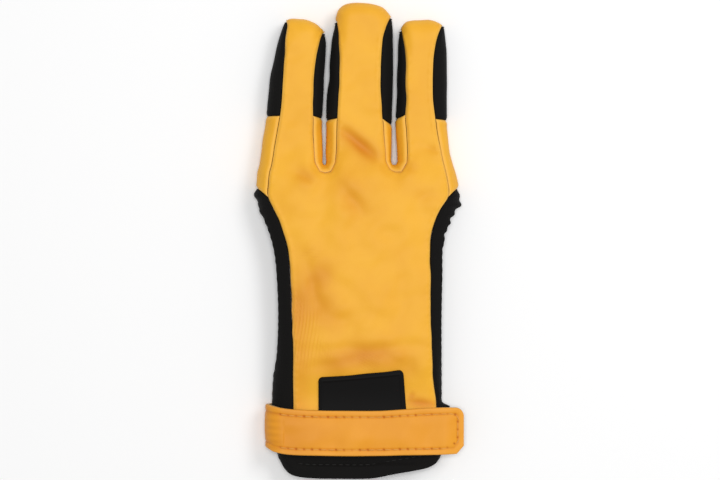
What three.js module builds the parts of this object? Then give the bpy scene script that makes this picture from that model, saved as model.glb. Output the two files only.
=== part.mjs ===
import * as THREE from "three";

// A three-finger archery glove, laid flat with its leather face up and its fingers along +Y.
// X runs across the hand, Z up from the surface that it lies on. The origin is under its middle.

// Sizes in millimetres
const middle_length = 78.3; // crotch line to fingertip
const ring_length = 70.3;
const index_length = 69.6;
const hand_length = 150.5; // cuff's mouth to the crotch line
const middle_width = 30.7;
const ring_width = 25.9;
const index_width = 24.2;
const finger_gap = 2.2;
const knuckle_width = 97;
const waist_width = 78.7;
const wrist_width = 82.6;
const mouth_width = 75;
const stall_height = 15;
const hand_height = 17.5;
const wrist_height = 12;
const mouth_height = 14;
const palm_crown = 2.2; // how far the middle of the face rises over its edges
const crotch_blend = 12; // either side of the crotch line, where the hand turns into stalls
const strip_width = 4.8; // a side strip as seen from above
const fourchette_length = 23; // crotch line to the end of the tan strips
const face_wall = 1.2;
const fabric_wall = 1.0;
const fold_depth = 1.1;
const opening_height = 9;
const ruffle_depth = 2.2;
const seam_gap = 0.3;
const wrist_drop = 30; // run over which the hand comes down to the strap
const panel_tuck = 4; // how far the face goes under the strap
const lift_lead = 5.5; // the cuff starts to lift this far below the strap
const lift_run = 2;
const lift_top = 5; // the back starts to lift this far above the strap
const lift_top_run = 4;
const strap_side_gap = 1.2; // between the glove's left edge and the strap round it
const strap_width = 21.6;
const strap_wall = 1.9;
const strap_rise = 11.3; // cuff's mouth to the strap's lower edge
const strap_bow = 2; // how far the strap's middle hangs below its ends
const tongue_overhang = 11;
const tongue_corner = 3;
const tongue_droop = 1.6;
const sewn_end = 30; // where the strap's sewn end lies, right of the middle
const label_width = 41.2;
const label_height = 17.1;
const label_slant = 3.3; // how much taller its right side is
const label_lean = 1.7; // how far its right side leans in
const label_wall = 1;
const label_corner = 2.4;
const label_middle = 1.4;
const label_tuck = 1.6; // how far the label goes under the strap
const patch_width = 20;
const patch_wall = 1;
const patch_height = 14.6;
const patch_inset = 4.5; // from the glove's right edge
const patch_rise = 2; // from the strap's lower edge

// Colours, as seen on the glove
const leather = { color: 0xf0b242, roughness: 0.55, metalness: 0 };
const strap_leather = { color: 0xeba23a, roughness: 0.6, metalness: 0 };
const stretch_fabric = { color: 0x1a1816, roughness: 0.9, metalness: 0 };
const label_rubber = { color: 0x121212, roughness: 0.6, metalness: 0 };

// Places that follow from the sizes
const mouth_y = -(hand_length + middle_length) / 2;
const crotch_y = mouth_y + hand_length;
const strips_end_y = crotch_y + fourchette_length;
const strap_low_y = mouth_y + strap_rise;
const strap_top_y = strap_low_y + strap_width;
const panel_end_y = strap_top_y - panel_tuck;
const strap_room = strap_wall + seam_gap; // the back is lifted this far where the strap passes under
const label_room = label_wall + 2 * seam_gap; // between the face and the strap over it
const middle_x = 0.2;
const ring_x = middle_x - middle_width / 2 - finger_gap - ring_width / 2;
const index_x = middle_x + middle_width / 2 + finger_gap + index_width / 2;

// Tables: a name for each column, then a row for each section
const table = (columns, rows) => {
  const names = columns.split(" ");
  return rows.map((row) => Object.fromEntries(names.map((name, i) => [name, row[i]])));
};

// Hand outline from the mouth (0) to the crotch line (1). Edges are shares of the width named
// in "of", seams are shares of strip_width in from the edge.
const HAND = table("at of left right seam_left seam_right", [
  [-0.1, mouth_width, 0.48, 0.48, 1.8, 0.8],
  [0.0, mouth_width, 0.487, 0.493, 1.8, 0.8],
  [0.07, mouth_width, 0.518, 0.517, 1.8, 0.6],
  [0.155, wrist_width, 0.509, 0.4765, 2.1, 0.5],
  [0.244, wrist_width, 0.513, 0.4765, 2.15, 0.5],
  [0.32, wrist_width, 0.506, 0.4765, 2.0, 0.8],
  [0.4, waist_width, 0.51, 0.5, 1.67, 0.95],
  [0.52, waist_width, 0.502, 0.501, 1.4, 1.1],
  [0.65, waist_width, 0.512, 0.506, 1.4, 1.2],
  [0.725, waist_width, 0.528, 0.507, 1.45, 1.25],
  [0.78, waist_width, 0.555, 0.52, 1.45, 1.35],
  [0.82, knuckle_width, 0.474, 0.446, 1.5, 1.5],
  [0.86, knuckle_width, 0.498, 0.471, 1.35, 1.45],
  [0.9, knuckle_width, 0.511, 0.486, 1.08, 0.95],
  [0.94, knuckle_width, 0.511, 0.484, 1.1, 0.95],
  [0.975, knuckle_width, 0.51, 0.475, 1.25, 1.0],
  [1.0, knuckle_width, 0.502, 0.462, 1.26, 0.95],
]);

// Stall sides from the crotch line (0) up. The edge is a share of the stall's width from its
// centre line, the seam a share of strip_width in from the edge. Both meet at the last row.
const SIDE = "at edge seam";
const RING = {
  left: table(SIDE, [
    [0, -0.703, 1.26],
    [0.1, -0.664, 1.3],
    [0.225, -0.61, 1.33],
    [0.33, -0.568, 1.36],
    [0.47, -0.537, 1.4],
    [0.6, -0.498, 1.3],
    [0.72, -0.425, 1.0],
    [0.85, -0.351, 0.7],
    [0.95, -0.257, 0.35],
    [0.984, -0.211, 0],
  ]),
  right: table(SIDE, [
    [0, 0.467, 0.55],
    [0.1, 0.467, 0.72],
    [0.33, 0.467, 0.85],
    [0.47, 0.484, 0.9],
    [0.6, 0.502, 0.9],
    [0.72, 0.521, 0.85],
    [0.83, 0.53, 0.5],
    [0.902, 0.503, 0],
  ]),
  tip: table("across at", [
    [-0.108, 1.0],
    [0.04, 1.0],
    [0.151, 0.998],
    [0.297, 0.98],
    [0.39, 0.958],
    [0.466, 0.928],
  ]),
};
const MIDDLE = {
  left: table(SIDE, [
    [0, -0.528, 0.78],
    [0.12, -0.536, 0.98],
    [0.3, -0.536, 1.1],
    [0.42, -0.5225, 1.1],
    [0.53, -0.491, 1.0],
    [0.64, -0.4756, 0.9],
    [0.76, -0.444, 0.6],
    [0.83, -0.413, 0.3],
    [0.881, -0.382, 0],
  ]),
  right: table(SIDE, [
    [0, 0.48, 0.4],
    [0.12, 0.486, 0.6],
    [0.3, 0.486, 0.85],
    [0.42, 0.501, 1.1],
    [0.53, 0.509, 1.2],
    [0.76, 0.5095, 1.0],
    [0.84, 0.505, 0.6],
    [0.905, 0.478, 0],
  ]),
  tip: table("across at", [
    [-0.35, 0.942],
    [-0.257, 0.979],
    [-0.132, 0.994],
    [0.025, 1.0],
    [0.212, 0.991],
    [0.37, 0.96],
  ]),
};
const INDEX = {
  left: table(SIDE, [
    [0, -0.49, 0.85],
    [0.1, -0.4975, 0.97],
    [0.225, -0.515, 0.99],
    [0.33, -0.515, 0.85],
    [0.47, -0.4975, 0.85],
    [0.6, -0.4975, 0.8],
    [0.72, -0.478, 0.7],
    [0.85, -0.472, 0.4],
    [0.93, -0.435, 0],
  ]),
  right: table(SIDE, [
    [0, 0.62, 0.95],
    [0.1, 0.545, 0.9],
    [0.225, 0.5, 0.98],
    [0.33, 0.494, 1.17],
    [0.47, 0.494, 1.4],
    [0.72, 0.494, 1.35],
    [0.83, 0.48, 1.0],
    [0.92, 0.46, 0.5],
    [0.965, 0.425, 0],
  ]),
  tip: table("across at", [
    [-0.4, 0.958],
    [-0.329, 0.985],
    [-0.219, 0.997],
    [-0.021, 1.0],
    [0.215, 1.0],
    [0.336, 0.986],
  ]),
};

// Seams round the bottom of each gap between two stalls: the turn is the direction from the
// gap's centre to its edge, across and down place the seam in shares of strip_width.
const LEFT_CROTCH = table("turn across down", [
  [230, -0.38, 0.82],
  [270, 0.08, 0.95],
  [310, 0.6, 0.85],
]);
const RIGHT_CROTCH = table("turn across down", [
  [230, -0.36, 0.78],
  [270, 0.1, 1.0],
  [310, 0.66, 1.0],
]);

// Dents and folds of the face: across in shares of knuckle_width, at in shares of hand_length
// from the mouth, run and breadth in shares of knuckle_width, depth in shares of fold_depth.
const FOLDS = table("across at run breadth depth turn", [
  [0.0, 1.065, 0.12, 0.03, 0.9, -40],
  [-0.265, 0.96, 0.05, 0.03, 0.5, -35],
  [-0.06, 0.9, 0.12, 0.045, 0.7, -55],
  [-0.235, 0.62, 0.14, 0.035, 0.6, -76],
  [-0.11, 0.505, 0.1, 0.04, 0.5, -12],
  [0.0, 0.415, 0.22, 0.035, 1.1, 2],
  [-0.17, 0.96, 0.055, 0.12, 1.2, 0],
  [0.17, 0.96, 0.055, 0.12, 1.2, 0],
  [0.2, 0.6, 0.05, 0.2, 0.5, 0],
]);

// Gathers along the thumb side's hem, pushed out from the edge
const RUFFLES = table("at breadth depth", [
  [0.885, 0.02, 1.0],
  [0.845, 0.009, 0.5],
  [0.817, 0.009, 0.5],
  [0.79, 0.009, 0.4],
  [0.763, 0.009, 0.3],
]);
const LEFT_RUFFLES = table("at breadth depth", [
  [0.905, 0.016, 0.55],
  [0.85, 0.01, 0.3],
]);

// Half height of the side openings along the hand, in shares of opening_height
const OPENING = table("at gape", [
  [0.34, 0],
  [0.4, 0.25],
  [0.5, 0.42],
  [0.65, 0.5],
  [0.75, 0.45],
  [0.82, 0.28],
  [0.86, 0],
]);

// The cuff's mouth: how far the rim stands back from the mouth line, in shares of strap_rise
const RIM = table("across back", [
  [0, 0.85],
  [0.02, 0.45],
  [0.07, 0.16],
  [0.14, 0.04],
  [0.35, 0],
  [0.56, 0.01],
  [0.72, 0.19],
  [0.85, 0.34],
  [0.93, 0.46],
  [0.98, 0.68],
  [1, 0.95],
]);

// Columns across a stall, denser towards its sides. The back's seams lie at the second and
// the last but one.
const COLUMNS = [0, 0.075, 0.24, 0.37, 0.5, 0.63, 0.76, 0.925, 1];
const BACK_SEAM = COLUMNS[2];
const BACK_COLUMNS = COLUMNS.slice(2, -2).map((f) => (f - BACK_SEAM) / (1 - 2 * BACK_SEAM));
const TIP_ROWS = 3;
const LOWER_ROWS = 4;
const UPPER_ROWS = 6;

const mix = (a, b, t) => a + (b - a) * t;
const mix_points = (a, b, t) => a.map((value, i) => mix(value, b[i], t));
const ease = (t) => {
  const held = Math.min(1, Math.max(0, t));
  return held * held * (3 - 2 * held);
};
const radians = THREE.MathUtils.degToRad;
const steps = (count) => Array.from({ length: count + 1 }, (_, i) => i / count);

// A column's value between a table's rows, on a smooth curve through them
function read(rows, value, at, key = "at") {
  const of = typeof value === "function" ? value : (row) => row[value];
  const last = rows.length - 1;
  if (at <= rows[0][key]) return of(rows[0]);
  if (at >= rows[last][key]) return of(rows[last]);
  let i = 0;
  while (rows[i + 1][key] < at) i++;
  const slope = (k) => {
    const a = Math.max(0, k - 1);
    const b = Math.min(last, k + 1);
    return (of(rows[b]) - of(rows[a])) / (rows[b][key] - rows[a][key]);
  };
  const run = rows[i + 1][key] - rows[i][key];
  const t = (at - rows[i][key]) / run;
  const bend = t * (1 - t) * run;
  const straight = mix(of(rows[i]), of(rows[i + 1]), ease(t));
  return straight + bend * ((1 - t) * slope(i) - t * slope(i + 1));
}

const hand_share = (y) => (y - mouth_y) / hand_length;
const hand_edge = (side, y) =>
  read(HAND, (row) => (side === "left" ? -row.left : row.right) * row.of, hand_share(y));
const hand_seam = (side, y) => read(HAND, "seam_" + side, hand_share(y)) * strip_width;

// One stall: its centre line, sizes and the outline of its sides and tip
function stall(rows, centre, width, length) {
  const place = (across, at) => [centre + across * width, crotch_y + at * length];
  const edge = (side, y) => centre + read(rows[side], "edge", (y - crotch_y) / length) * width;
  const seam = (side, y) => read(rows[side], "seam", (y - crotch_y) / length) * strip_width;
  const corner_y = (side) => crotch_y + rows[side].at(-1).at * length;
  const corner = (side) => [edge(side, corner_y(side)), corner_y(side)];
  const tip_curve = new THREE.CatmullRomCurve3(
    [corner("left"), ...rows.tip.map((row) => place(row.across, row.at)), corner("right")].map(
      ([x, y]) => new THREE.Vector3(x, y, 0),
    ),
    false,
    "centripetal",
  );
  const tip = (share) => tip_curve.getPointAt(share).toArray().slice(0, 2);
  return { edge, seam, corner_y, corner, tip };
}
const ring = stall(RING, ring_x, ring_width, ring_length);
const middle = stall(MIDDLE, middle_x, middle_width, middle_length);
const index = stall(INDEX, index_x, index_width, index_length);
const stalls = [ring, middle, index];

// The round bottom of the gap between two stalls
function crotch(before, after, rows) {
  const left = before.edge("right", crotch_y);
  const right = after.edge("left", crotch_y);
  const radius = (right - left) / 2;
  return { centre: [(left + right) / 2, crotch_y + radius], radius, rows };
}
const crotches = [crotch(ring, middle, LEFT_CROTCH), crotch(middle, index, RIGHT_CROTCH)];

// The outline seen from above, from the right of the mouth round the stalls to its left
const side_points = (of, side, low) =>
  steps(24).map((t) => {
    const y = mix(low, of.corner_y(side), t);
    return [of.edge(side, y), y];
  });
const between = (count) => steps(count).slice(1, -1);
const hand_points = (side) =>
  between(50).map((t) => {
    const y = mix(mouth_y - strap_width, crotch_y, t);
    return [hand_edge(side, y), y];
  });
const tip_points = (of) => between(16).map((t) => of.tip(1 - t));
const arc_points = ({ centre, radius }) =>
  between(8).map((t) => {
    const turn = radians(mix(360, 180, t));
    return [centre[0] + radius * Math.cos(turn), centre[1] + radius * Math.sin(turn)];
  });
const outline = [
  ...hand_points("right"),
  ...side_points(index, "right", crotch_y),
  ...tip_points(index),
  ...side_points(index, "left", crotches[1].centre[1]).reverse(),
  ...arc_points(crotches[1]),
  ...side_points(middle, "right", crotches[1].centre[1]),
  ...tip_points(middle),
  ...side_points(middle, "left", crotches[0].centre[1]).reverse(),
  ...arc_points(crotches[0]),
  ...side_points(ring, "right", crotches[0].centre[1]),
  ...tip_points(ring),
  ...side_points(ring, "left", crotch_y).reverse(),
  ...hand_points("left").reverse(),
];

// How far a place lies inside the outline, less than nothing outside it
function inset(x, y) {
  let nearest = Infinity;
  let inside = 1;
  for (let i = 0; i + 1 < outline.length; i++) {
    const [ax, ay] = outline[i];
    const dx = outline[i + 1][0] - ax;
    const dy = outline[i + 1][1] - ay;
    const length = dx * dx + dy * dy;
    const t = length ? Math.min(1, Math.max(0, ((x - ax) * dx + (y - ay) * dy) / length)) : 0;
    const off = Math.hypot(x - ax - t * dx, y - ay - t * dy);
    if (off < nearest) {
      nearest = off;
      inside = dx * (y - ay) - dy * (x - ax) < 0 ? -1 : 1;
    }
  }
  return inside * nearest;
}

// Heights along the glove: mouth, strap, hand, stalls
const past_rim = (y) => ease((y - strap_low_y + lift_lead) / lift_run);
const past_crotch = (y) => ease((y - crotch_y + crotch_blend) / (2 * crotch_blend));
const over_strap = (y) =>
  ease((strap_top_y + wrist_drop - y) / (wrist_drop - label_tuck)) * past_rim(y);
const top_at = (y) => {
  const palm = mix(hand_height, stall_height, past_crotch(y));
  const body = mix(mouth_height, palm, ease((y - strap_low_y) / strap_width));
  return mix(body, strap_room + wrist_height, over_strap(y));
};
const lift_at = (y) =>
  strap_room * ease((strap_top_y + lift_top - y) / lift_top_run) * past_rim(y);
const middle_at = (y) => (lift_at(y) + top_at(y)) / 2;
const side_radius = (y) => (top_at(y) - lift_at(y)) / 2;

// Folds and the crown of the face
function relief(x, y) {
  let sum = 0;
  for (const fold of FOLDS) {
    const turn = radians(fold.turn);
    const dx = x - fold.across * knuckle_width;
    const dy = y - mouth_y - fold.at * hand_length;
    const along = (dx * Math.cos(turn) + dy * Math.sin(turn)) / (fold.run * knuckle_width);
    const off = (dy * Math.cos(turn) - dx * Math.sin(turn)) / (fold.breadth * knuckle_width);
    sum -= fold.depth * fold_depth * Math.exp(-along * along - off * off);
  }
  const left = hand_edge("left", y);
  const right = hand_edge("right", y);
  const across = (2 * x - left - right) / (right - left);
  const crown = palm_crown * Math.max(0, 1 - across * across);
  return (sum + crown * (1 - past_crotch(y))) * (1 - over_strap(y));
}

// Height of the upper and the lower skin over a place, and the skin's outward normal there.
// Its section is a flat tube whose sides are round.
const roundness = (x, y, d) => {
  const rest = 1 - Math.min(1, Math.max(0, d) / side_radius(y));
  return Math.sqrt(1 - rest * rest);
};
const top_of = (x, y) => top_at(y) + relief(x, y);
const upper = (x, y, d = inset(x, y)) =>
  mix(middle_at(y), top_of(x, y), roundness(x, y, d));
const lower = (x, y, d = inset(x, y)) => mix(middle_at(y), lift_at(y), roundness(x, y, d));
function normal_at([x, y, z]) {
  const field = (px, py, pz) => {
    const centre = middle_at(py);
    const reach = pz > centre ? top_of(px, py) - centre : centre - lift_at(py);
    const rise = (pz - centre) / reach;
    const rest = 1 - Math.min(1, inset(px, py) / side_radius(py));
    return rise * rise + rest * rest;
  };
  const e = 0.15;
  return new THREE.Vector3(
    field(x + e, y, z) - field(x - e, y, z),
    field(x, y + e, z) - field(x, y - e, z),
    field(x, y, z + e) - field(x, y, z - e),
  ).normalize();
}

// Skin points over a place: on the upper side, on the lower side, or on the outline itself
const on_top = ([x, y]) => [x, y, upper(x, y)];
const on_back = ([x, y]) => [x, y, lower(x, y)];
const on_edge = ([x, y]) => [x, y, middle_at(y)];

// A wall of even thickness from a net of outer points. Rows of points make a net; points
// that coincide are one. Edges of the net stand back from the seams by half the seam gap.
function wall(name, nets, thickness, finish, options = {}) {
  const { normal = normal_at, back = seam_gap / 2 } = options;
  const points = [];
  const found = new Map();
  const point = (p) => {
    const key = p.map((value) => Math.round(value * 200)).join();
    if (!found.has(key)) {
      found.set(key, points.length);
      points.push(p);
    }
    return found.get(key);
  };
  const faces = [];
  for (const net of nets) {
    const ids = net.map((row) => row.map(point));
    for (let i = 0; i + 1 < ids.length; i++) {
      for (let j = 0; j + 1 < ids[i].length; j++) {
        const corners = [ids[i][j], ids[i][j + 1], ids[i + 1][j + 1], ids[i + 1][j]];
        const face = corners.filter((id, k) => id !== corners[(k + 1) % 4]);
        if (face.length > 2) faces.push(face);
      }
    }
  }
  const edges = new Map();
  for (const face of faces) {
    face.forEach((id, k) => {
      const next = face[(k + 1) % face.length];
      if (edges.has(next + "," + id)) edges.delete(next + "," + id);
      else edges.set(id + "," + next, [id, next]);
    });
  }
  const normals = points.map((p) => normal(p));
  const outer = points.map((p) => new THREE.Vector3(...p));
  const inward = new Map();
  for (const [a, b] of edges.values()) {
    const run = new THREE.Vector3().subVectors(outer[b], outer[a]);
    for (const id of [a, b]) {
      const step = new THREE.Vector3().crossVectors(normals[id], run).normalize();
      inward.set(id, (inward.get(id) ?? new THREE.Vector3()).add(step));
    }
  }
  for (const [id, step] of inward) outer[id].addScaledVector(step.normalize(), back);
  const inner = outer.map((p, i) => p.clone().addScaledVector(normals[i], -thickness));
  const count = points.length;
  const triangles = [];
  const fan = (ring_of_points) => {
    for (let k = 1; k + 1 < ring_of_points.length; k++) {
      triangles.push(ring_of_points[0], ring_of_points[k], ring_of_points[k + 1]);
    }
  };
  for (const face of faces) {
    fan(face);
    fan(face.map((id) => id + count).reverse());
  }
  // The wall's rim is split the same way as its neighbour's across the seam
  const first = (a, b) => {
    const axis = points[a].findIndex((value, i) => Math.abs(value - points[b][i]) > 0.01);
    return points[a][axis] < points[b][axis];
  };
  for (const [a, b] of edges.values()) {
    fan(first(a, b) ? [b, a, a + count, b + count] : [a, a + count, b + count, b]);
  }
  const geometry = new THREE.BufferGeometry();
  geometry.setAttribute(
    "position",
    new THREE.Float32BufferAttribute([...outer, ...inner].flatMap((p) => p.toArray()), 3),
  );
  geometry.setIndex(triangles);
  geometry.computeVertexNormals();
  const mesh = new THREE.Mesh(geometry, new THREE.MeshStandardMaterial(finish));
  mesh.name = name;
  return mesh;
}

// Seam stations: seam on the face, outline, and seam on the back, each a place seen from above
const sign_of = { left: -1, right: 1 };
const opposite = { left: "right", right: "left" };
function stall_stations(of, side, ys, other_ys) {
  const other = opposite[side];
  return ys.map((y, i) => {
    const edge = [of.edge(side, y), y];
    const across = [of.edge(other, other_ys[i]), other_ys[i]];
    const face = [edge[0] - sign_of[side] * of.seam(side, y), y];
    return { face, edge, back: mix_points(edge, across, BACK_SEAM) };
  });
}
const hand_back_inset = BACK_SEAM * ring_width;
function hand_station(side, face_y, edge_y = face_y, back_y = edge_y) {
  const sign = sign_of[side];
  return {
    face: [hand_edge(side, face_y) - sign * hand_seam(side, face_y), face_y],
    edge: [hand_edge(side, edge_y), edge_y],
    back: [hand_edge(side, back_y) - sign * hand_back_inset, back_y],
  };
}
function crotch_stations({ centre, radius, rows }) {
  return rows.map(({ turn, across, down }) => {
    const place = (share) => [
      centre[0] + across * strip_width * share,
      centre[1] - down * strip_width * share,
    ];
    const angle = radians(turn);
    const edge = [centre[0] + radius * Math.cos(angle), centre[1] + radius * Math.sin(angle)];
    return { face: place(1), edge, back: place(1.25) };
  });
}

// Stations up each side of a stall: from its root to the end of the tan strips, then to the tip
const root_y = (at, side) => {
  if (at === 0 && side === "left") return crotch_y;
  if (at === 2 && side === "right") return crotch_y;
  return crotches[side === "left" ? at - 1 : at].centre[1];
};
const lower_ys = (at, side) =>
  steps(LOWER_ROWS).map((t) => mix(root_y(at, side), strips_end_y, t));
const upper_ys = (at, side) =>
  steps(UPPER_ROWS).map((t) => mix(strips_end_y, stalls[at].corner_y(side), t ** 0.9));
const lower_side = (at, side) =>
  stall_stations(stalls[at], side, lower_ys(at, side), lower_ys(at, opposite[side]));
const upper_side = (at, side) =>
  stall_stations(stalls[at], side, upper_ys(at, side), upper_ys(at, opposite[side]));

// Stations down the hand: the knuckles, the slanted top of the hems, the palm, the wrist
const KNUCKLES = table("face edge back", [
  [0.98, 0.98, 0.975],
  [0.945, 0.955, 0.955],
  [0.895, 0.925, 0.93],
]);
const HEM_TOP = table("face edge back", [[0.865, 0.885, 0.89]]);
const palm_start = 0.835;
const palm_rows = 9;
const drop_rows = 6;
const drop_y = strap_top_y + wrist_drop;
const share_y = (share) => mouth_y + share * hand_length;
const row_at = (side, row) =>
  hand_station(side, share_y(row.face), share_y(row.edge), share_y(row.back));
const palm_ys = [
  ...steps(palm_rows).map((t) => mix(share_y(palm_start), drop_y, t)),
  ...steps(drop_rows)
    .slice(1)
    .map((t) => mix(drop_y, strap_top_y + 0.5, t)),
  panel_end_y,
];
const knuckle_side = (side) => KNUCKLES.map((row) => row_at(side, row));
const palm_side = (side) => [
  ...HEM_TOP.map((row) => row_at(side, row)),
  ...palm_ys.map((y) => hand_station(side, y)),
];

// Rows of places across a piece, between two stations, and across the whole hand
const across_row = (a, b, columns) => columns.map((t) => mix_points(a, b, t));
function hand_rows(part, columns) {
  const left = knuckle_side("left").concat(palm_side("left"));
  const right = knuckle_side("right").concat(palm_side("right"));
  const [first, second] = crotches.map((at) => crotch_stations(at).map((s) => s[part]));
  const anchors = [left[0][part], ...first, ...second, right[0][part]];
  const top = [
    ...across_row(anchors[0], anchors[1], columns),
    anchors[2],
    ...across_row(anchors[3], anchors[4], columns),
    anchors[5],
    ...across_row(anchors[6], anchors[7], columns),
  ];
  const span = top.at(-1)[0] - top[0][0];
  const shares = top.map(([x]) => (x - top[0][0]) / span);
  const rows = [top];
  for (let i = 1; i < left.length; i++) {
    const even = ease(i / 8);
    const a = left[i][part];
    const b = right[i][part];
    rows.push(
      shares.map((share, k) => mix_points(a, b, mix(share, k / (top.length - 1), even))),
    );
  }
  return rows;
}
const stall_rows = (lefts, rights, part, columns) =>
  lefts.map((left, i) => across_row(left[part], rights[i][part], columns));

// The tip of a stall: from its last row over the tip and under it
function tip_rows(of) {
  const chord = across_row(of.corner("left"), of.corner("right"), COLUMNS);
  const arc = COLUMNS.map((share) => of.tip(share));
  const turns = steps(TIP_ROWS).map((t) => (t * Math.PI) / 2);
  const over = turns
    .slice(0, -1)
    .map((turn) => chord.map((p, k) => on_top(mix_points(p, arc[k], Math.sin(turn)))));
  const under = turns
    .slice(1)
    .map((turn) => arc.map((p, k) => on_back(mix_points(p, chord[k], 1 - Math.cos(turn)))));
  const rows = [...over, arc.map(on_edge), ...under];
  for (const row of rows) {
    row[0] = on_edge(of.corner("left"));
    row[row.length - 1] = on_edge(of.corner("right"));
  }
  return rows;
}

// A side strip's section at one station, from the seam on the face round to the one behind
const FRONT_STEPS = steps(3).map((t) => Math.cos((t * Math.PI) / 2));
function section(station, back_steps) {
  const front = FRONT_STEPS.slice(0, -1).map((c) =>
    on_top(mix_points(station.edge, station.face, 1 - Math.sin(Math.acos(c)))),
  );
  const behind = back_steps.map((t) => on_back(mix_points(station.edge, station.back, t)));
  return [...front, on_edge(station.edge), ...behind];
}
const BEHIND = [COLUMNS[1] / BACK_SEAM, 1];
const strip_net = (stations) => stations.map((station) => section(station, BEHIND));
const flip = (net) => net.map((row) => [...row].reverse());

// Leather face: hand, three stalls and their tips
function face_panel() {
  const nets = [flip(hand_rows("face", COLUMNS).map((row) => row.map(on_top)))];
  const top = hand_rows("face", COLUMNS)[0];
  stalls.forEach((of, at) => {
    const lefts = lower_side(at, "left").concat(upper_side(at, "left").slice(1));
    const rights = lower_side(at, "right").concat(upper_side(at, "right").slice(1));
    const own = top.slice(at * (COLUMNS.length + 1), at * (COLUMNS.length + 1) + COLUMNS.length);
    const places = [own, ...stall_rows(lefts, rights, "face", COLUMNS)].slice(0, -1);
    nets.push([...places.map((row) => row.map(on_top)), ...tip_rows(of)]);
  });
  return wall("face_panel", nets, face_wall, leather);
}

// Stretch fabric: back of the hand, backs of the stalls, and their sides above the tan strips
function back_panel() {
  const rows = hand_rows("back", BACK_COLUMNS);
  const nets = [rows.map((row) => row.map(on_back))];
  stalls.forEach((of, at) => {
    const own = rows[0].slice(
      at * (BACK_COLUMNS.length + 1),
      at * (BACK_COLUMNS.length + 1) + BACK_COLUMNS.length,
    );
    const lefts = lower_side(at, "left");
    const rights = lower_side(at, "right");
    const places = [own, ...stall_rows(lefts, rights, "back", BACK_COLUMNS)];
    nets.push(flip(places.map((row) => row.map(on_back))));
    const high_left = upper_side(at, "left");
    const high_right = upper_side(at, "right");
    const net = high_left.map((left, i) => [
      ...section(left, BEHIND).slice(0, -1),
      ...across_row(left.back, high_right[i].back, BACK_COLUMNS).map(on_back),
      ...section(high_right[i], BEHIND).slice(0, -1).reverse(),
    ]);
    nets.push(flip(net));
  });
  return wall("back_panel", nets, fabric_wall, stretch_fabric);
}

// Tan strips between two stalls: down one side, round the crotch and up the next
function fourchette(name, at) {
  const stations = [
    ...lower_side(at, "right").reverse(),
    ...crotch_stations(crotches[at]),
    ...lower_side(at + 1, "left"),
  ];
  return wall(name, [flip(strip_net(stations))], face_wall, leather);
}

// Tan strips on the outer sides, from the end of the black fabric to the slanted hems
function side_panel(name, at, side) {
  const stations = [...lower_side(at, side).reverse(), ...knuckle_side(side)];
  const net = strip_net(stations);
  return wall(name, [side === "left" ? net : flip(net)], face_wall, leather);
}

// Gathered hem down one side of the hand, with the opening for the finger or thumb in it
function hem(name, side, ruffles) {
  const coarse = [knuckle_side(side).at(-1), ...palm_side(side)];
  const stations = coarse.slice(0, -1).flatMap((station, i) => {
    const parts = hand_share(station.edge[1]) > 0.76 ? [0, 1 / 3, 2 / 3] : [0];
    const next = coarse[i + 1];
    return parts.map((t) => ({
      face: mix_points(station.face, next.face, t),
      edge: mix_points(station.edge, next.edge, t),
      back: mix_points(station.back, next.back, t),
    }));
  });
  stations.push(coarse.at(-1));
  const push = (y) =>
    ruffles.reduce((sum, { at, breadth, depth }) => {
      const off = (hand_share(y) - at) / breadth;
      return sum + depth * ruffle_depth * Math.exp(-off * off);
    }, 0);
  const halves = stations.map((station) => {
    const whole = section(station, BEHIND);
    const middle_of = whole.length - 1 - BEHIND.length;
    const gape = Math.max(0, read(OPENING, "gape", hand_share(station.edge[1])));
    const moved = whole.map(([x, y, z], k) => {
      const near =
        k <= middle_of ? (k / middle_of) ** 1.5 : ((whole.length - 1 - k) / BEHIND.length) ** 1.5;
      return [x + sign_of[side] * push(y) * near, y, z, near];
    });
    const shift = (up) => ([x, y, z, near]) => [x, y, z + up * near * gape * opening_height];
    return {
      over: moved.slice(0, middle_of + 1).map(shift(1)),
      under: moved.slice(middle_of).map(shift(-1)),
    };
  });
  const nets = [halves.map((half) => half.over), halves.map((half) => half.under)];
  return wall(name, side === "left" ? nets : nets.map(flip), fabric_wall, stretch_fabric);
}

// Cuff: a flat tube from under the strap to its curved mouth
function cuff() {
  const columns = [0, 0.02, 0.07, 0.16, 0.28, 0.42, 0.58, 0.72, 0.84, 0.93, 0.98, 1];
  const net = steps(7).map((t) => {
    const places = columns.map((share) => {
      const rim = mouth_y + strap_rise * read(RIM, "back", share, "across");
      const y = mix(panel_end_y, rim, t);
      return [mix(hand_edge("left", y), hand_edge("right", y), share), y];
    });
    const inner = places.slice(1, -1);
    return [
      on_edge(places[0]),
      ...inner.map(on_top),
      on_edge(places.at(-1)),
      ...inner.map(on_back).reverse(),
      on_edge(places[0]),
    ];
  });
  return wall("cuff", [flip(net)], fabric_wall, stretch_fabric);
}

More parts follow.
